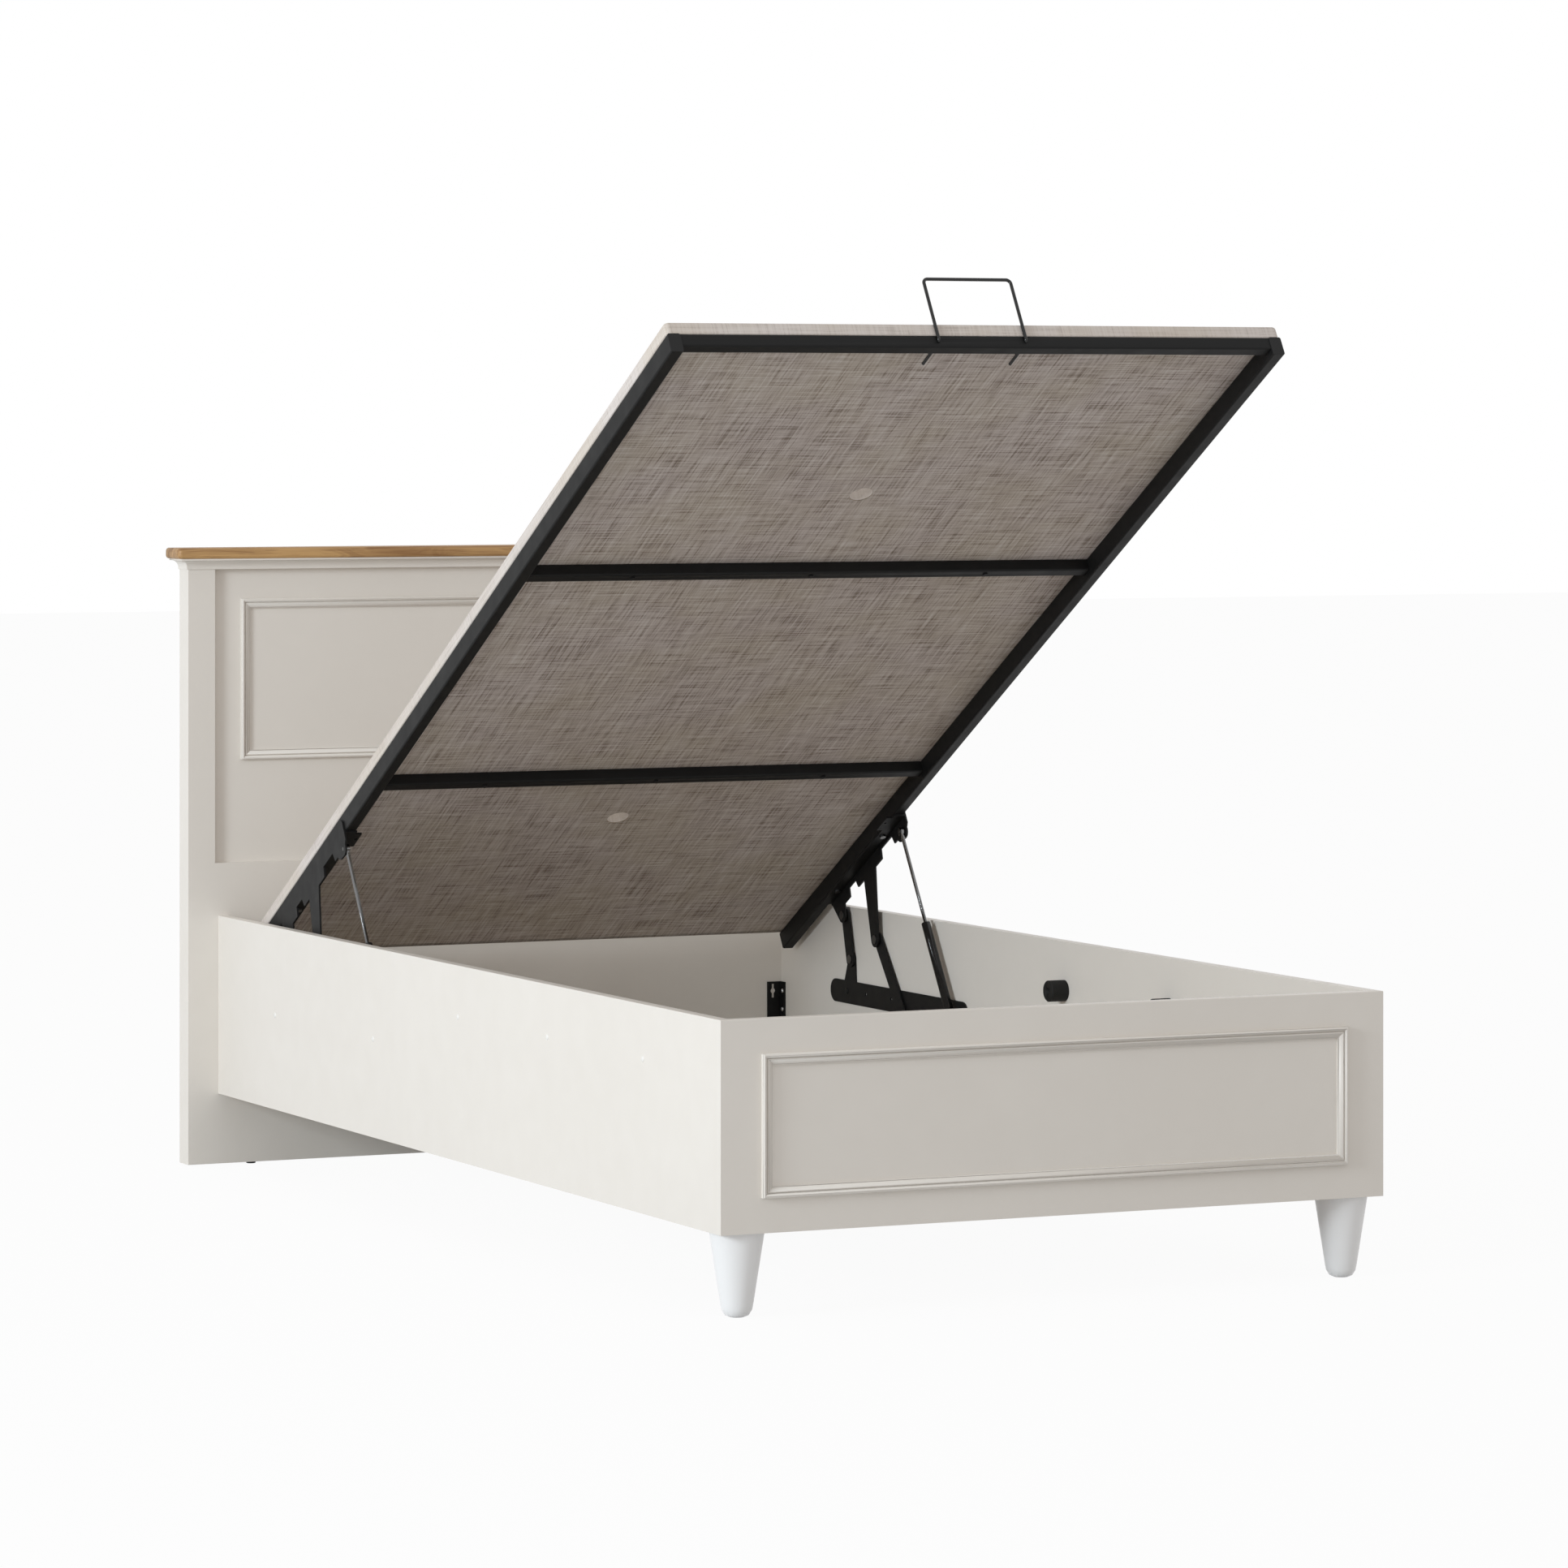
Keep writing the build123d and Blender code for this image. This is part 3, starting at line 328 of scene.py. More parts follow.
def makeGrain():  # growth rings drawn out along the board, with pores
    group, given, result = newGroup(
        "woodGrain",
        [
            ("Vector", "Vector", None),
            ("Early Wood", "Color", (0.6, 0.4, 0.2, 1)),
            ("Late Wood", "Color", (0.3, 0.17, 0.07, 1)),
            ("Ring Scale", "Float", 22.0),
            ("Pore Share", "Float", 0.5),
        ],
        [("Colour", "Color"), ("Roughness", "Float"), ("Height", "Float")],
    )
    wire = Wiring(group)
    long = wire.stretch(given.outputs["Vector"], (0.9, 7.0, 7.0))
    sway = wire.noise(long, 1.6, 3.0, 0.55)
    x, y, z = wire.split(given.outputs["Vector"])
    ring = wire.maths("MULTIPLY", wire.maths("ADD", wire.maths("ADD", y, z), wire.maths("MULTIPLY", sway, 0.16)), 1.0)
    ring = wire.maths("MULTIPLY", ring, given.outputs["Ring Scale"])
    rings = wire.noise(wire.join(wire.maths("MULTIPLY", x, 0.8), ring, wire.maths("MULTIPLY", z, 3.0)), 2.2, 5.0, 0.62)
    fibre = wire.noise(wire.stretch(given.outputs["Vector"], (9.0, 420.0, 420.0)), 1.0, 3.0, 0.6)
    tone = wire.maths("MULTIPLY_ADD", fibre, 0.35, wire.maths("MULTIPLY", rings, 0.85))
    colour = wire.mix(wire.ramp(tone, 0.44, 0.72), given.outputs["Late Wood"], given.outputs["Early Wood"])
    pores = wire.noise(wire.stretch(given.outputs["Vector"], (26.0, 1100.0, 1100.0)), 1.0, 1.0)
    pits = wire.maths("MULTIPLY", wire.ramp(pores, 0.66, 0.74), given.outputs["Pore Share"])
    colour = wire.mix(pits, colour, given.outputs["Late Wood"], "MULTIPLY")
    wire.put(result.inputs["Colour"], colour)
    wire.put(result.inputs["Roughness"], wire.ramp(tone, 0.3, 0.8, 0.62, 0.44))
    wire.put(result.inputs["Height"], wire.maths("SUBTRACT", tone, pits))
    return group


def makePowder():  # fine texture of powder coat, moulded plastic, rubber or plated steel
    group, given, result = newGroup(
        "fineCoat",
        [
            ("Vector", "Vector", None),
            ("Coat", "Color", (0.05, 0.05, 0.05, 1)),
            ("Dust", "Color", (0.3, 0.3, 0.3, 1)),
            ("Dust Share", "Float", 0.1),
            ("Grit Size", "Float", 900.0),
            ("Sheen Low", "Float", 0.4),
            ("Sheen High", "Float", 0.55),
        ],
        [("Colour", "Color"), ("Roughness", "Float"), ("Height", "Float")],
    )
    wire = Wiring(group)
    cloud = wire.noise(given.outputs["Vector"], 34.0, 4.0)
    grit = wire.noise(given.outputs["Vector"], given.outputs["Grit Size"], 2.0)
    share = wire.maths("MULTIPLY", wire.ramp(cloud, 0.42, 0.72), given.outputs["Dust Share"])
    wire.put(result.inputs["Colour"], wire.mix(share, given.outputs["Coat"], given.outputs["Dust"]))
    rough = wire.ramp(cloud, 0.3, 0.7, given.outputs["Sheen Low"], given.outputs["Sheen High"])
    wire.put(result.inputs["Roughness"], rough)
    wire.put(result.inputs["Height"], grit)
    return group


surfaceGroups = {
    "paintFilm": makePaintFilm(),
    "linenWeave": makeWeave(),
    "woodGrain": makeGrain(),
    "fineCoat": makePowder(),
}
print("shader groups built")


# Finishes

finishes = {
    "cream_paint": {
        "group": "paintFilm",
        "values": {"Paint": (0.775, 0.735, 0.68, 1), "Tone Drift": 0.05},
        "bump": 0.04, "depth": 0.0004,
    },
    "foot_paint": {
        "group": "paintFilm",
        "values": {"Paint": (0.86, 0.86, 0.86, 1), "Tone Drift": 0.03, "Sheen Low": 0.3, "Sheen High": 0.38},
        "bump": 0.03, "depth": 0.0003,
    },
    "cream_plastic": {
        "group": "fineCoat",
        "values": {"Coat": (0.82, 0.80, 0.77, 1), "Dust": (0.7, 0.68, 0.64, 1), "Sheen Low": 0.2, "Sheen High": 0.3},
        "bump": 0.03, "depth": 0.0002,
    },
    "oak": {
        "group": "woodGrain",
        "values": {"Early Wood": (0.55, 0.33, 0.135, 1), "Late Wood": (0.22, 0.10, 0.032, 1), "Ring Scale": 34.0},
        "bump": 0.35, "depth": 0.0006,
    },
    "bare_wood": {
        "group": "woodGrain",
        "values": {"Early Wood": (0.66, 0.47, 0.27, 1), "Late Wood": (0.45, 0.28, 0.13, 1), "Pore Share": 0.2},
        "bump": 0.3, "depth": 0.0006,
    },
    "floor_board": {
        "group": "paintFilm",
        "values": {"Paint": (0.80, 0.76, 0.70, 1), "Tone Drift": 0.12, "Sheen Low": 0.5, "Sheen High": 0.65},
        "bump": 0.05, "depth": 0.0004,
    },
    "cover_cloth": {
        "group": "linenWeave", "ownMap": True,
        "values": {
            "Yarn": (0.70, 0.64, 0.60, 1), "Warm Yarn": (0.66, 0.59, 0.52, 1),
            "Dark Slub": (0.36, 0.31, 0.27, 1), "Contrast": 0.45,
        },
        "bump": 0.22, "depth": 0.0005, "sheen": 0.1, "gloss": 0.2,
    },
    # Same cloth as the cover: its darker yarn and slub colours are painted shade for the underside in the lid's shadow
    "lining_cloth": {
        "group": "linenWeave", "ownMap": True,
        "values": {
            "Yarn": (0.56, 0.49, 0.455, 1), "Warm Yarn": (0.51, 0.44, 0.375, 1),
            "Dark Slub": (0.2, 0.155, 0.12, 1), "Contrast": 0.9,
        },
        "bump": 0.22, "depth": 0.0005, "sheen": 0.05, "gloss": 0.15,
    },
    "black_steel": {
        "group": "fineCoat",
        "values": {"Coat": (0.007, 0.007, 0.007, 1), "Dust": (0.03, 0.03, 0.03, 1), "Sheen Low": 0.5, "Sheen High": 0.6},
        "bump": 0.18, "depth": 0.0003, "gloss": 0.2,
    },
    "black_cylinder": {
        "group": "fineCoat",
        "values": {"Coat": (0.006, 0.006, 0.006, 1), "Dust": (0.01, 0.01, 0.01, 1), "Sheen Low": 0.14, "Sheen High": 0.2},
        "bump": 0.03, "depth": 0.0002, "gloss": 0.45,
    },
    "black_plastic": {
        "group": "fineCoat",
        "values": {"Coat": (0.01, 0.01, 0.01, 1), "Dust": (0.03, 0.03, 0.03, 1), "Sheen Low": 0.42, "Sheen High": 0.55},
        "bump": 0.12, "depth": 0.0003, "gloss": 0.25,
    },
    "black_rubber": {
        "group": "fineCoat",
        "values": {"Coat": (0.01, 0.01, 0.009, 1), "Dust": (0.05, 0.05, 0.05, 1), "Sheen Low": 0.6, "Sheen High": 0.75},
        "bump": 0.2, "depth": 0.0004, "gloss": 0.25,
    },
    "zinc_steel": {
        "group": "fineCoat", "metal": 1.0,
        "values": {"Coat": (0.55, 0.55, 0.55, 1), "Dust": (0.38, 0.37, 0.35, 1), "Sheen Low": 0.28, "Sheen High": 0.42},
        "bump": 0.08, "depth": 0.0002,
    },
    "pin_steel": {
        "group": "fineCoat", "metal": 1.0,
        "values": {"Coat": (0.12, 0.12, 0.12, 1), "Dust": (0.07, 0.07, 0.07, 1), "Sheen Low": 0.3, "Sheen High": 0.45},
        "bump": 0.08, "depth": 0.0002,
    },
    "bright_rod": {
        "group": "fineCoat", "metal": 1.0,
        "values": {"Coat": (0.2, 0.2, 0.2, 1), "Dust": (0.16, 0.16, 0.16, 1), "Sheen Low": 0.12, "Sheen High": 0.2},
        "bump": 0.02, "depth": 0.0001,
    },
}


def makeFinish(name):
    values = finishes[name]
    material = bpy.data.materials.new(name)
    material.use_nodes = True
    tree = material.node_tree
    shader = tree.nodes["Principled BSDF"]
    place = tree.nodes.new("ShaderNodeTexCoord")
    group = tree.nodes.new("ShaderNodeGroup")
    group.node_tree = surfaceGroups[values["group"]]
    tree.links.new(place.outputs["UV" if values.get("ownMap") else "Object"], group.inputs["Vector"])
    for label, value in values["values"].items():
        group.inputs[label].default_value = value
    bump = tree.nodes.new("ShaderNodeBump")
    bump.inputs["Strength"].default_value = values["bump"]
    bump.inputs["Distance"].default_value = values["depth"]
    tree.links.new(group.outputs["Colour"], shader.inputs["Base Color"])
    tree.links.new(group.outputs["Roughness"], shader.inputs["Roughness"])
    tree.links.new(group.outputs["Height"], bump.inputs["Height"])
    tree.links.new(bump.outputs["Normal"], shader.inputs["Normal"])
    shader.inputs["Metallic"].default_value = values.get("metal", 0.0)
    if "sheen" in values:
        shader.inputs["Sheen Weight"].default_value = values["sheen"]
        shader.inputs["Sheen Roughness"].default_value = 0.6
    shader.inputs["Specular IOR Level"].default_value = values.get("gloss", 0.5)
    return material


materials = {name: makeFinish(name) for name in finishes}
for node, item in nodes.items():
    item.data.materials.clear()
    item.data.materials.append(materials[slotOf[node]])
print("finishes made:", len(materials))


# Pieces

lidPlace = {"foot": (-0.795857, 1.344337), "tilt": 30.5}  # the lid's own origin in the bed's frame


def fromLid(x, along, up):
    tilt = math.radians(lidPlace["tilt"])
    y = lidPlace["foot"][0] + along * math.cos(tilt) + up * math.sin(tilt)
    z = lidPlace["foot"][1] - along * math.sin(tilt) + up * math.cos(tilt)
    return (x, y, z)


def addPiece(name, mesh, node, body=None, slot=None):
    piece = bpy.data.objects.new(name, mesh)
    bpy.context.scene.collection.objects.link(piece)
    slot = slot or slotOf[node]
    mesh.materials.clear()
    mesh.materials.append(materials[slot])
    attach(piece, body or bodyOf[node])
    return piece


bracketNotches = {
    "foot": ((1.541, -0.040), (1.550, -0.009), (1.598, -0.009), (1.607, -0.040)),
    "head": ((1.704, -0.040), (1.712, -0.010), (1.741, -0.010), (1.749, -0.040)),
    "near": 0.494,
    "far": 0.515,
}  # gaps in the lift bracket's low edge, as along and up in the lid's own frame


def addPrism(work, outline, near, far):
    rings = []
    for x in (near, far):
        rings.append([work.verts.new(fromLid(x, along, up)) for along, up in outline])
    work.faces.new(rings[0])
    work.faces.new(rings[1][::-1])
    bridge(work, rings[1], rings[0])


def cutNotches(mesh, side):
    work = bmesh.new()
    for end in ("foot", "head"):
        addPrism(work, bracketNotches[end], side * bracketNotches["near"], side * bracketNotches["far"])
    bmesh.ops.recalc_face_normals(work, faces=work.faces)
    cutterMesh = bpy.data.meshes.new("notchCutter")
    work.to_mesh(cutterMesh)
    work.free()
    cutter = bpy.data.objects.new("notchCutter", cutterMesh)
    blank = bpy.data.objects.new("bracketBlank", mesh)
    for item in (cutter, blank):
        bpy.context.scene.collection.objects.link(item)
    cut = blank.modifiers.new("notch", "BOOLEAN")
    cut.operation = "DIFFERENCE"
    cut.solver = "EXACT"
    cut.object = cutter
    result = bpy.data.meshes.new_from_object(blank.evaluated_get(bpy.context.evaluated_depsgraph_get()))
    bpy.data.objects.remove(blank)
    bpy.data.objects.remove(cutter)
    return result


def bridge(work, first, second):
    count = len(first)
    for place in range(count):
        after = (place + 1) % count
        work.faces.new((first[place], first[after], second[after], second[place]))


def joined(mesh):
    work = bmesh.new()
    work.from_mesh(mesh)
    bmesh.ops.remove_doubles(work, verts=work.verts, dist=0.00001)
    work.to_mesh(mesh)
    work.free()
    return mesh


# Copies a rigid node's shape, joins its loose triangles and gives it soft edges and smooth curves
def dressNode(node, edge=0.0, smooth=32.0, segments=2):
    mesh = joined(nodes[node].data.copy())
    if node.startswith("lift_bracket"):
        mesh = cutNotches(mesh, -1 if node.endswith("left") else 1)
    work = bmesh.new()
    work.from_mesh(mesh)
    bmesh.ops.remove_doubles(work, verts=work.verts, dist=0.00001)
    if edge:
        bmesh.ops.dissolve_limit(work, angle_limit=math.radians(1.0), verts=work.verts, edges=work.edges)
    work.to_mesh(mesh)
    work.free()
    mesh.polygons.foreach_set("use_smooth", [True] * len(mesh.polygons))
    mesh.set_sharp_from_angle(angle=math.radians(smooth))
    words = node.split("_")
    piece = addPiece(words[0] + "".join(word.capitalize() for word in words[1:]), mesh, node)
    if edge:
        bevel = piece.modifiers.new("softEdge", "BEVEL")
        bevel.width = edge
        bevel.segments = segments
        bevel.limit_method = "ANGLE"
        bevel.angle_limit = math.radians(40)
        bevel.harden_normals = True
    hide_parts(node)
    return piece


softEdges = {  # metres of edge rounding, 0 keeps the solid's own edges
    "headboard_oak_top": 0.0,
    "headboard_cornice": 0.0,
    "headboard_panel_moulding": 0.0,
    "foot_board_moulding": 0.0,
    "front_foot_left": 0.0008,
    "front_foot_right": 0.0008,
    "lift_base_plate_left": 0.0004,
    "lift_base_plate_right": 0.0004,
    "lift_bracket_left": 0.0004,
    "lift_bracket_right": 0.0004,
    "rear_link_left": 0.0005,
    "rear_link_right": 0.0005,
    "front_link_left": 0.0005,
    "front_link_right": 0.0005,
    "head_corner_bracket_left": 0.0003,
    "head_corner_bracket_right": 0.0003,
    "foot_corner_brackets": 0.0003,
    "lid_side_tube_left": 0.0,
    "lid_side_tube_right": 0.0,
    "lid_foot_member": 0.0,
    "lid_cross_members": 0.0,
    "mattress_retainer": 0.0,
    "strut_rod_left": 0.0,
    "strut_rod_right": 0.0,
    "strut_tube_left": 0.0,
    "strut_tube_right": 0.0,
    "strut_base_studs": 0.0,
    "tube_end_plugs": 0.0003,
    "lid_buffers": 0.0,
    "headboard_glides": 0.0,
    "base_pivot_pins_left": 0.0002,
    "base_pivot_pins_right": 0.0002,
    "bracket_pins_left": 0.0002,
    "bracket_pins_right": 0.0002,
}
for node, edge in softEdges.items():
    dressNode(node, edge)
print("rigid nodes dressed:", len(softEdges))


# Screw and bolt heads, grown by one geometry tree on points taken from the fasteners' own places

headSizes = {
    "rail_screw_caps": {"Roundness": 1.0, "Recessed": False, "inward": False},
    "base_plate_bolts": {"Roundness": 1.7, "Recessed": True, "height": 0.0018},
    "bracket_screws": {"Roundness": 1.4, "Recessed": True, "height": 0.0022},
    "buffer_screws": {"Roundness": 1.4, "Recessed": True, "height": 0.0028},
}
headSides = 24
recessShare = 0.26  # a cross recess's bar width as a share of the head's radius


class TreeWiring(Wiring):
    def make(self, kind, **inputs):
        node = self.tree.nodes.new(kind)
        for label, value in inputs.items():
            self.put(node.inputs[label.replace("_", " ")], value)
        return node

    def sized(self, first, share):
        return self.maths("MULTIPLY", first, share)


def makeHeadTree():
    tree = bpy.data.node_groups.new("fastenerHeads", "GeometryNodeTree")
    face = tree.interface
    face.new_socket(name="Points", in_out="INPUT", socket_type="NodeSocketGeometry")
    for label, value in (("Radius", 0.004), ("Height", 0.002), ("Roundness", 1.0)):
        socket = face.new_socket(name=label, in_out="INPUT", socket_type="NodeSocketFloat")
        socket.default_value = value
    face.new_socket(name="Recessed", in_out="INPUT", socket_type="NodeSocketBool")
    face.new_socket(name="Finish", in_out="INPUT", socket_type="NodeSocketMaterial")
    face.new_socket(name="Heads", in_out="OUTPUT", socket_type="NodeSocketGeometry")
    given = tree.nodes.new("NodeGroupInput").outputs
    result = tree.nodes.new("NodeGroupOutput")
    wire = TreeWiring(tree)
    ball = wire.make("GeometryNodeMeshUVSphere", Segments=headSides, Rings=headSides // 2, Radius=1.0)
    x, y, z = wire.split(tree.nodes.new("GeometryNodeInputPosition").outputs[0])
    rise = wire.maths("MAXIMUM", wire.maths("MINIMUM", wire.maths("MULTIPLY", z, given["Roundness"]), 1.0), 0.0)
    spot = wire.join(
        wire.maths("MULTIPLY", x, given["Radius"]),
        wire.maths("MULTIPLY", y, given["Radius"]),
        wire.maths("MULTIPLY", rise, given["Height"]),
    )
    head = wire.make("GeometryNodeSetPosition", Geometry=ball.outputs["Mesh"], Position=spot).outputs[0]
    wide = wire.sized(given["Radius"], recessShare)
    long = wire.sized(given["Radius"], 1.1)
    tall = wire.sized(given["Height"], 1.2)
    bars = tree.nodes.new("GeometryNodeJoinGeometry")
    for size in (wire.join(wide, long, tall), wire.join(long, wide, tall)):
        bar = wire.make("GeometryNodeMeshCube", Size=size).outputs["Mesh"]
        tree.links.new(bar, bars.inputs[0])
    raised = wire.make(
        "GeometryNodeTransform", Geometry=bars.outputs[0], Translation=wire.join(0.0, 0.0, given["Height"])
    )
    cut = tree.nodes.new("GeometryNodeMeshBoolean")
    cut.operation = "DIFFERENCE"
    tree.links.new(head, cut.inputs["Mesh 1"])
    tree.links.new(raised.outputs[0], cut.inputs["Mesh 2"])
    choice = tree.nodes.new("GeometryNodeSwitch")
    choice.input_type = "GEOMETRY"
    wire.put(choice.inputs["Switch"], given["Recessed"])
    wire.put(choice.inputs["False"], head)
    wire.put(choice.inputs["True"], cut.outputs["Mesh"])
    facing = tree.nodes.new("GeometryNodeInputNamedAttribute")
    facing.data_type = "FLOAT_VECTOR"
    facing.inputs["Name"].default_value = "facing"
    turn = tree.nodes.new("FunctionNodeAlignRotationToVector")
    turn.axis = "Z"
    wire.put(turn.inputs["Vector"], facing.outputs["Attribute"])
    grown = wire.make(
        "GeometryNodeInstanceOnPoints",
        Points=given["Points"],
        Instance=choice.outputs["Output"],
        Rotation=turn.outputs[0],
    )
    real = wire.make("GeometryNodeRealizeInstances", Geometry=grown.outputs[0])
    coated = wire.make("GeometryNodeSetMaterial", Geometry=real.outputs[0], Material=given["Finish"])
    tree.links.new(coated.outputs[0], result.inputs["Heads"])
    return tree


# Low and high corners of each separate solid in a node
def looseBoxes(node):
    work = bmesh.new()
    work.from_mesh(nodes[node].data)
    bmesh.ops.remove_doubles(work, verts=work.verts, dist=0.00001)
    left = set(work.verts)
    boxes = []
    while left:
        pending = [left.pop()]
        spots = []
        while pending:
            vert = pending.pop()
            spots.append(vert.co.copy())
            for edge in vert.link_edges:
                other = edge.other_vert(vert)
                if other in left:
                    left.remove(other)
                    pending.append(other)
        boxes.append([[pick(spot[axis] for spot in spots) for axis in range(3)] for pick in (min, max)])
    work.free()
    return boxes


# A head's seat, the way it faces, its radius and its height
def headPlace(box, values):
    low, high = box
    spans = [high[axis] - low[axis] for axis in range(3)]
    inward = values.get("inward", True)
    axis = spans.index(max(spans) if inward else min(spans))
    middle = [(low[side] + high[side]) / 2 for side in range(3)]
    sign = -math.copysign(1, middle[axis]) if inward else math.copysign(1, middle[axis])
    height = values.get("height", spans[axis])
    tip = high[axis] if sign > 0 else low[axis]
    middle[axis] = tip - sign * height
    facing = [0.0, 0.0, 0.0]
    facing[axis] = sign
    return middle, facing, spans[(axis + 1) % 3] / 2, height


def growHeads(tree, node, name):
    values = headSizes[node]
    found = [headPlace(box, values) for box in looseBoxes(node)]
    seats = bpy.data.meshes.new(name + "Seats")
    seats.from_pydata([middle for middle, _, _, _ in found], [], [])
    facing = seats.attributes.new("facing", "FLOAT_VECTOR", "POINT")
    facing.data.foreach_set("vector", [part for _, way, _, _ in found for part in way])
    carrier = bpy.data.objects.new(name + "Seats", seats)
    bpy.context.scene.collection.objects.link(carrier)
    grow = carrier.modifiers.new("heads", "NODES")
    grow.node_group = tree
    sizes = dict(values, Radius=found[0][2], Height=found[0][3], Finish=materials[slotOf[node]])
    for socket in tree.interface.items_tree:
        if socket.in_out == "INPUT" and socket.name in sizes:
            grow[socket.identifier] = sizes[socket.name]
    mesh = bpy.data.meshes.new_from_object(carrier.evaluated_get(bpy.context.evaluated_depsgraph_get()))
    bpy.data.objects.remove(carrier)
    mesh.polygons.foreach_set("use_smooth", [True] * len(mesh.polygons))
    mesh.set_sharp_from_angle(angle=math.radians(38))
    piece = addPiece(name, mesh, node)
    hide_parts(node)


headTree = makeHeadTree()
growHeads(headTree, "rail_screw_caps", "railScrewCaps")
growHeads(headTree, "base_plate_bolts", "basePlateBolts")
growHeads(headTree, "bracket_screws", "bracketScrews")
growHeads(headTree, "buffer_screws", "bufferScrews")
print("fastener heads grown")


# Bent tails of the mattress retainer, and a thin dark strip of painted shade beside the headboard's stiles

retainerTails = {"start": 0.022, "end": 0.060, "level": 0.0175, "radius": 0.0025, "tip": 0.0008, "sides": 20}


def addTurned(work, x, stations):
    rings = []
    for along, radius in stations:
        ring = []
        for step in range(retainerTails["sides"]):
            turn = 2 * math.pi * step / retainerTails["sides"]
            up = retainerTails["level"] + radius * math.sin(turn)
            ring.append(work.verts.new(fromLid(x + radius * math.cos(turn), along, up)))
        rings.append(ring)
    for first, second in zip(rings, rings[1:]):
        bridge(work, first, second)
    work.faces.new(rings[0][::-1])
    work.faces.new(rings[-1])


def makeRetainerTails():
    values = retainerTails
    low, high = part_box("mattress_retainer")
    offset = (high[0] - low[0]) / 2 - values["radius"]
    work = bmesh.new()
    for x in (-offset, offset):
        addTurned(work, x, (
            (values["start"], values["radius"]),
            (values["end"] - values["tip"], values["radius"]),
            (values["end"], values["radius"] - values["tip"]),
        ))
    bmesh.ops.recalc_face_normals(work, faces=work.faces)
    mesh = bpy.data.meshes.new("retainerTails")
    work.to_mesh(mesh)
    work.free()
    mesh.polygons.foreach_set("use_smooth", [True] * len(mesh.polygons))
    mesh.set_sharp_from_angle(angle=math.radians(35))
    addPiece("retainerTails", mesh, "mattress_retainer")


# A thin dark strip laid on the panel's face along each stile's inner edge: painted shade for the shadow line where the
# panel meets the stile
paintedShadeStrip = {"width": 0.0018, "thick": 0.0003}


def makePaintedShadeStrip():
    values = paintedShadeStrip
    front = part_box("headboard_upper_panel")[0][1]
    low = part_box("headboard_lower_board")[1][2]
    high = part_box("headboard_cornice")[0][2]
    work = bmesh.new()
    for node, side in (("headboard_post_left", 1), ("headboard_post_right", -1)):
        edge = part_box(node)[1 if side > 0 else 0][0]
        corners = []
        for x, y in ((edge, front), (edge + side * values["width"], front),
                     (edge + side * values["width"] * 0.6, front - values["thick"]), (edge, front - values["thick"])):
            corners.append([work.verts.new((x, y, z)) for z in (low, high)])
        bottom = [pair[0] for pair in corners]
        top = [pair[1] for pair in corners]
        bridge(work, bottom, top)
        work.faces.new(bottom[::-1])
        work.faces.new(top)
    bmesh.ops.recalc_face_normals(work, faces=work.faces)
    mesh = bpy.data.meshes.new("panelShadowGap")
    work.to_mesh(mesh)
    work.free()
    addPiece("panelShadowGap", mesh, "headboard_upper_panel", slot="black_plastic")


makeRetainerTails()
makePaintedShadeStrip()
print("retainer tails and panel gap made")


# Cloth on the lid's platform

platformCloth = {
    "width": 0.998,
    "length": 1.992,
    "low": 0.030,
    "high": 0.050,
    "corner": 0.008,
    "edge": 0.0045,
    "hem": 0.010,
    "ventRadius": 0.0185,
    "ventPlaces": (0.463, 1.529),
    "ventRoll": 0.0022,
    "rounds": 48,
}


# Points round the platform's outline, drawn in from its edge, going anticlockwise from above
def outline(inset, steps=8):
    half = platformCloth["width"] / 2 - inset
    low = inset
    high = platformCloth["length"] - inset
    radius = max(platformCloth["corner"] - inset, 0.002)
    points = []
    for cx, cy, start in (
        (half - radius, low + radius, -90),
        (half - radius, high - radius, 0),
        (radius - half, high - radius, 90),
        (radius - half, low + radius, 180),
    ):
        for step in range(steps + 1):
            turn = math.radians(start + 90 * step / steps)
            points.append((cx + radius * math.cos(turn), cy + radius * math.sin(turn)))
    return points


def ringOf(work, points, up):
    return [work.verts.new((x, along, up)) for x, along in points]


def ventRing(along, radius):
    points = []
    for step in range(platformCloth["rounds"]):
        turn = 2 * math.pi * step / platformCloth["rounds"]
        points.append((radius * math.cos(turn), along + radius * math.sin(turn)))
    return points


# Fills the flat between an outer loop and the vents' loops
def fillFlat(work, outer, holes):
    edges = []
    for loop in [outer] + holes:
        for place, vert in enumerate(loop):
            edges.append(work.edges.get((vert, loop[(place + 1) % len(loop)])) or
                         work.edges.new((vert, loop[(place + 1) % len(loop)])))
    bmesh.ops.triangle_fill(work, use_beauty=True, use_dissolve=False, edges=edges)


# Cloth map in metres: across and along the lid, carried on round its edges
def mapCloth(work):
    layer = work.loops.layers.uv.new("clothMap")
    for face in work.faces:
        face.normal_update()
        nx, ny, nz = face.normal
        for loop in face.loops:
            x, along, up = loop.vert.co
            if abs(nz) >= 0.7:
                loop[layer].uv = (x, along)
            elif abs(ny) >= abs(nx):
                loop[layer].uv = (x, along + math.copysign(platformCloth["high"] - up, ny))
            else:
                loop[layer].uv = (x + math.copysign(platformCloth["high"] - up, nx), along)


def placeOnLid(work):
    for vert in work.verts:
        vert.co = fromLid(*vert.co)


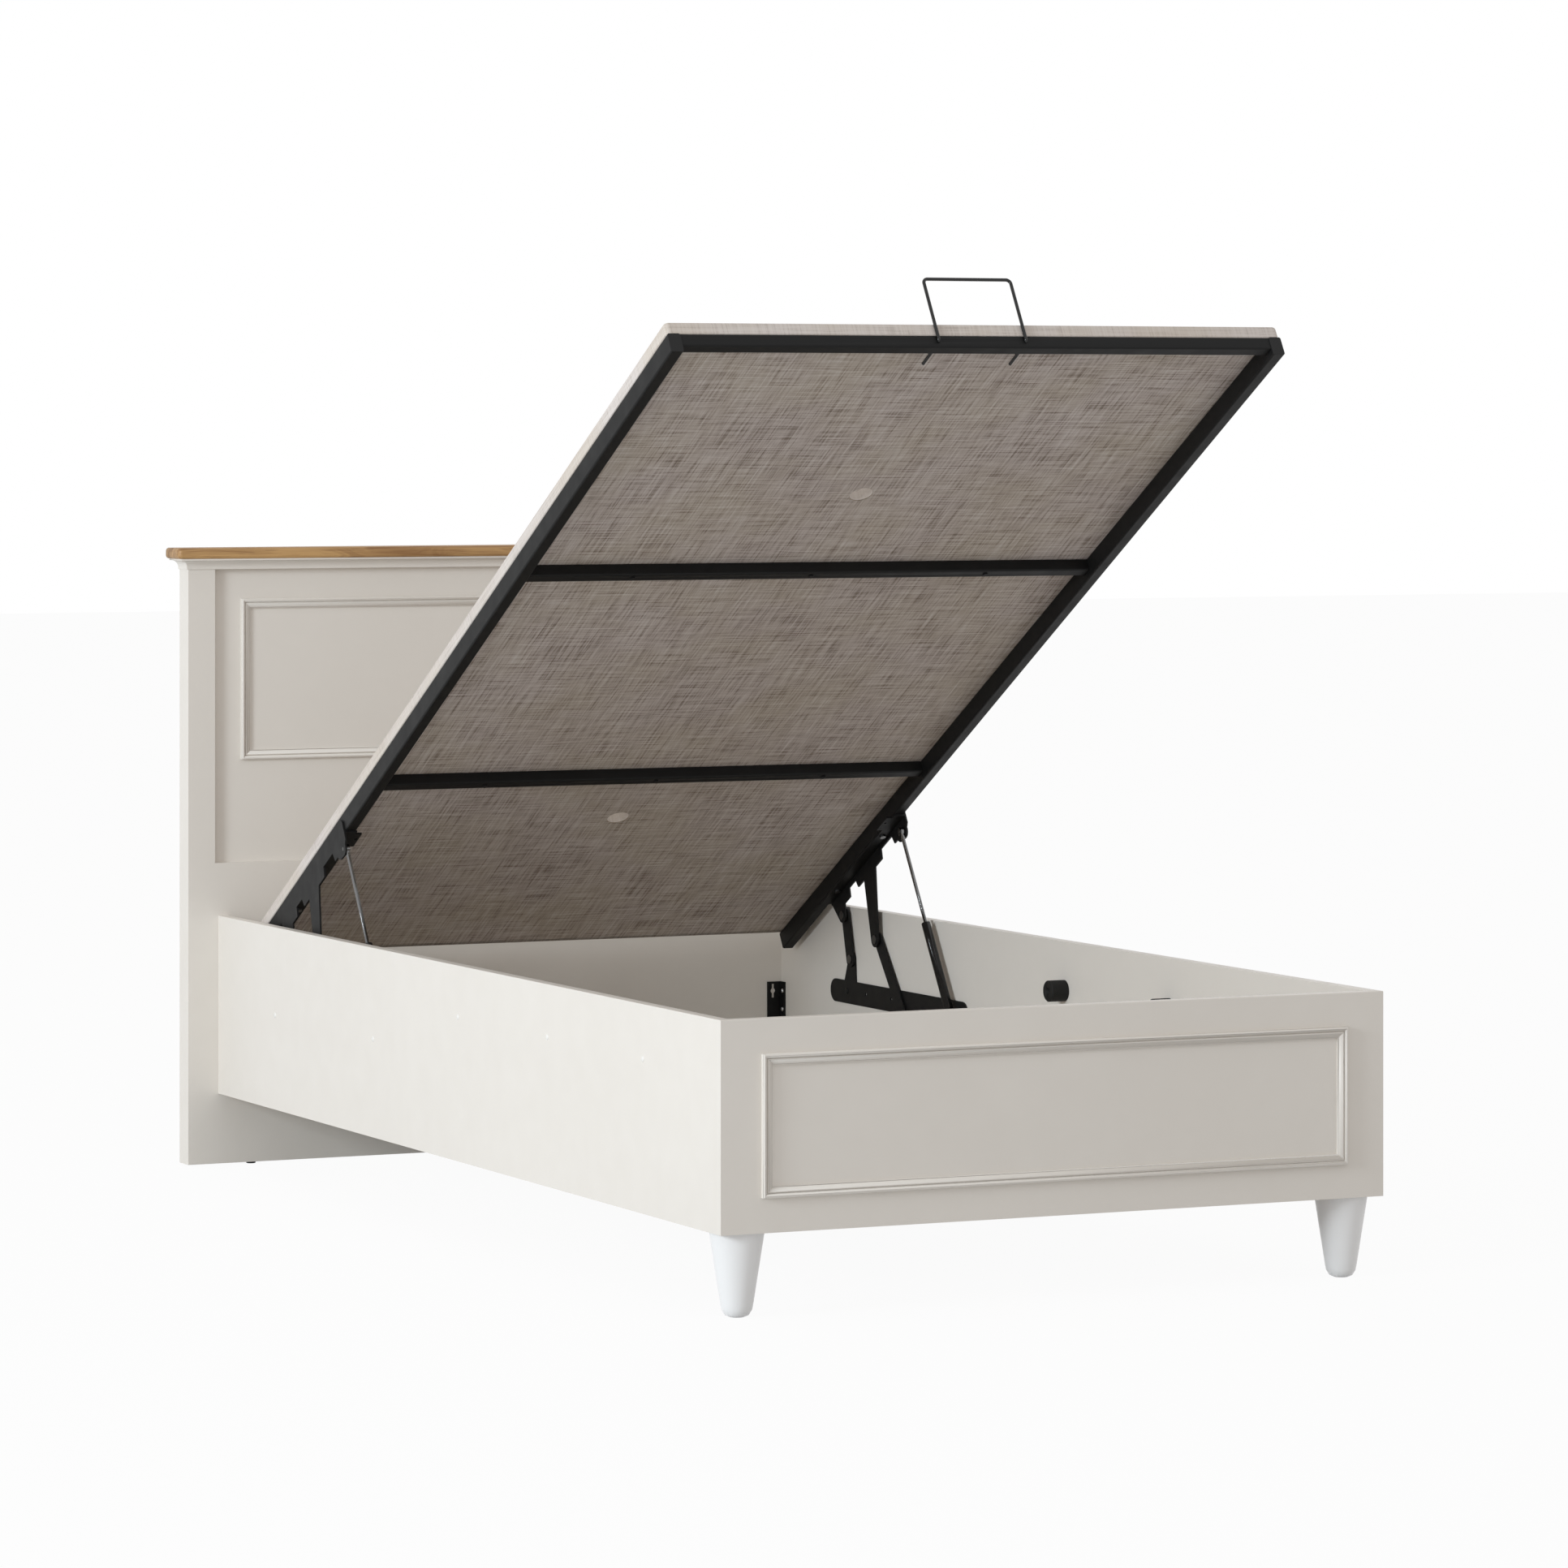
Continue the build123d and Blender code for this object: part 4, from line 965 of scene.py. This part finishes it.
def finishCloth(work, name):
    bmesh.ops.recalc_face_normals(work, faces=work.faces)
    mapCloth(work)
    placeOnLid(work)
    mesh = bpy.data.meshes.new(name)
    work.to_mesh(mesh)
    work.free()
    mesh.polygons.foreach_set("use_smooth", [True] * len(mesh.polygons))
    mesh.set_sharp_from_angle(angle=math.radians(40))
    return mesh


def makeCover():
    values = platformCloth
    work = bmesh.new()
    low, high, edge = values["low"], values["high"], values["edge"]
    rings = [ringOf(work, outline(values["hem"]), low), ringOf(work, outline(0.0012), low)]
    rings.append(ringOf(work, outline(0.0), low + 0.0012))
    rings.append(ringOf(work, outline(0.0), high - edge))
    for step in range(1, 6):
        turn = math.radians(18 * step)
        inset = edge * (1 - math.cos(turn))
        rings.append(ringOf(work, outline(inset), high - edge + edge * math.sin(turn)))
    rings.append(ringOf(work, outline(0.02), high + 0.0004))
    for first, second in zip(rings, rings[1:]):
        bridge(work, first, second)
    holes = []
    for along in values["ventPlaces"]:
        roll = values["ventRoll"]
        wall = values["ventRadius"] - 0.0004
        loops = [ringOf(work, ventRing(along, wall + roll), high + 0.0004)]
        for step in range(1, 5):
            turn = math.radians(22.5 * step)
            radius = wall + roll * (1 - math.sin(turn))
            loops.append(ringOf(work, ventRing(along, radius), high + 0.0004 - roll * (1 - math.cos(turn))))
        loops.append(ringOf(work, ventRing(along, wall), low + 0.0005))
        for first, second in zip(loops, loops[1:]):
            bridge(work, first, second)
        holes.append(loops[0])
    fillFlat(work, rings[-1], holes)
    mesh = finishCloth(work, "platformCover")
    piece = addPiece("platformCover", mesh, "platform_cover")
    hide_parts("platform_cover")
    return piece


def makeLining():
    values = platformCloth
    work = bmesh.new()
    outer = ringOf(work, outline(0.002), values["low"])
    holes = [ringOf(work, ventRing(along, values["ventRadius"]), values["low"]) for along in values["ventPlaces"]]
    fillFlat(work, outer, holes)
    for face in work.faces:
        face.normal_update()
        if face.normal.z > 0:
            face.normal_flip()
    mapCloth(work)
    placeOnLid(work)
    mesh = bpy.data.meshes.new("platformLining")
    work.to_mesh(mesh)
    work.free()
    piece = addPiece("platformLining", mesh, "platform_lining")
    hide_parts("platform_lining")
    return piece


makeCover()
makeLining()
print("platform cloth made")
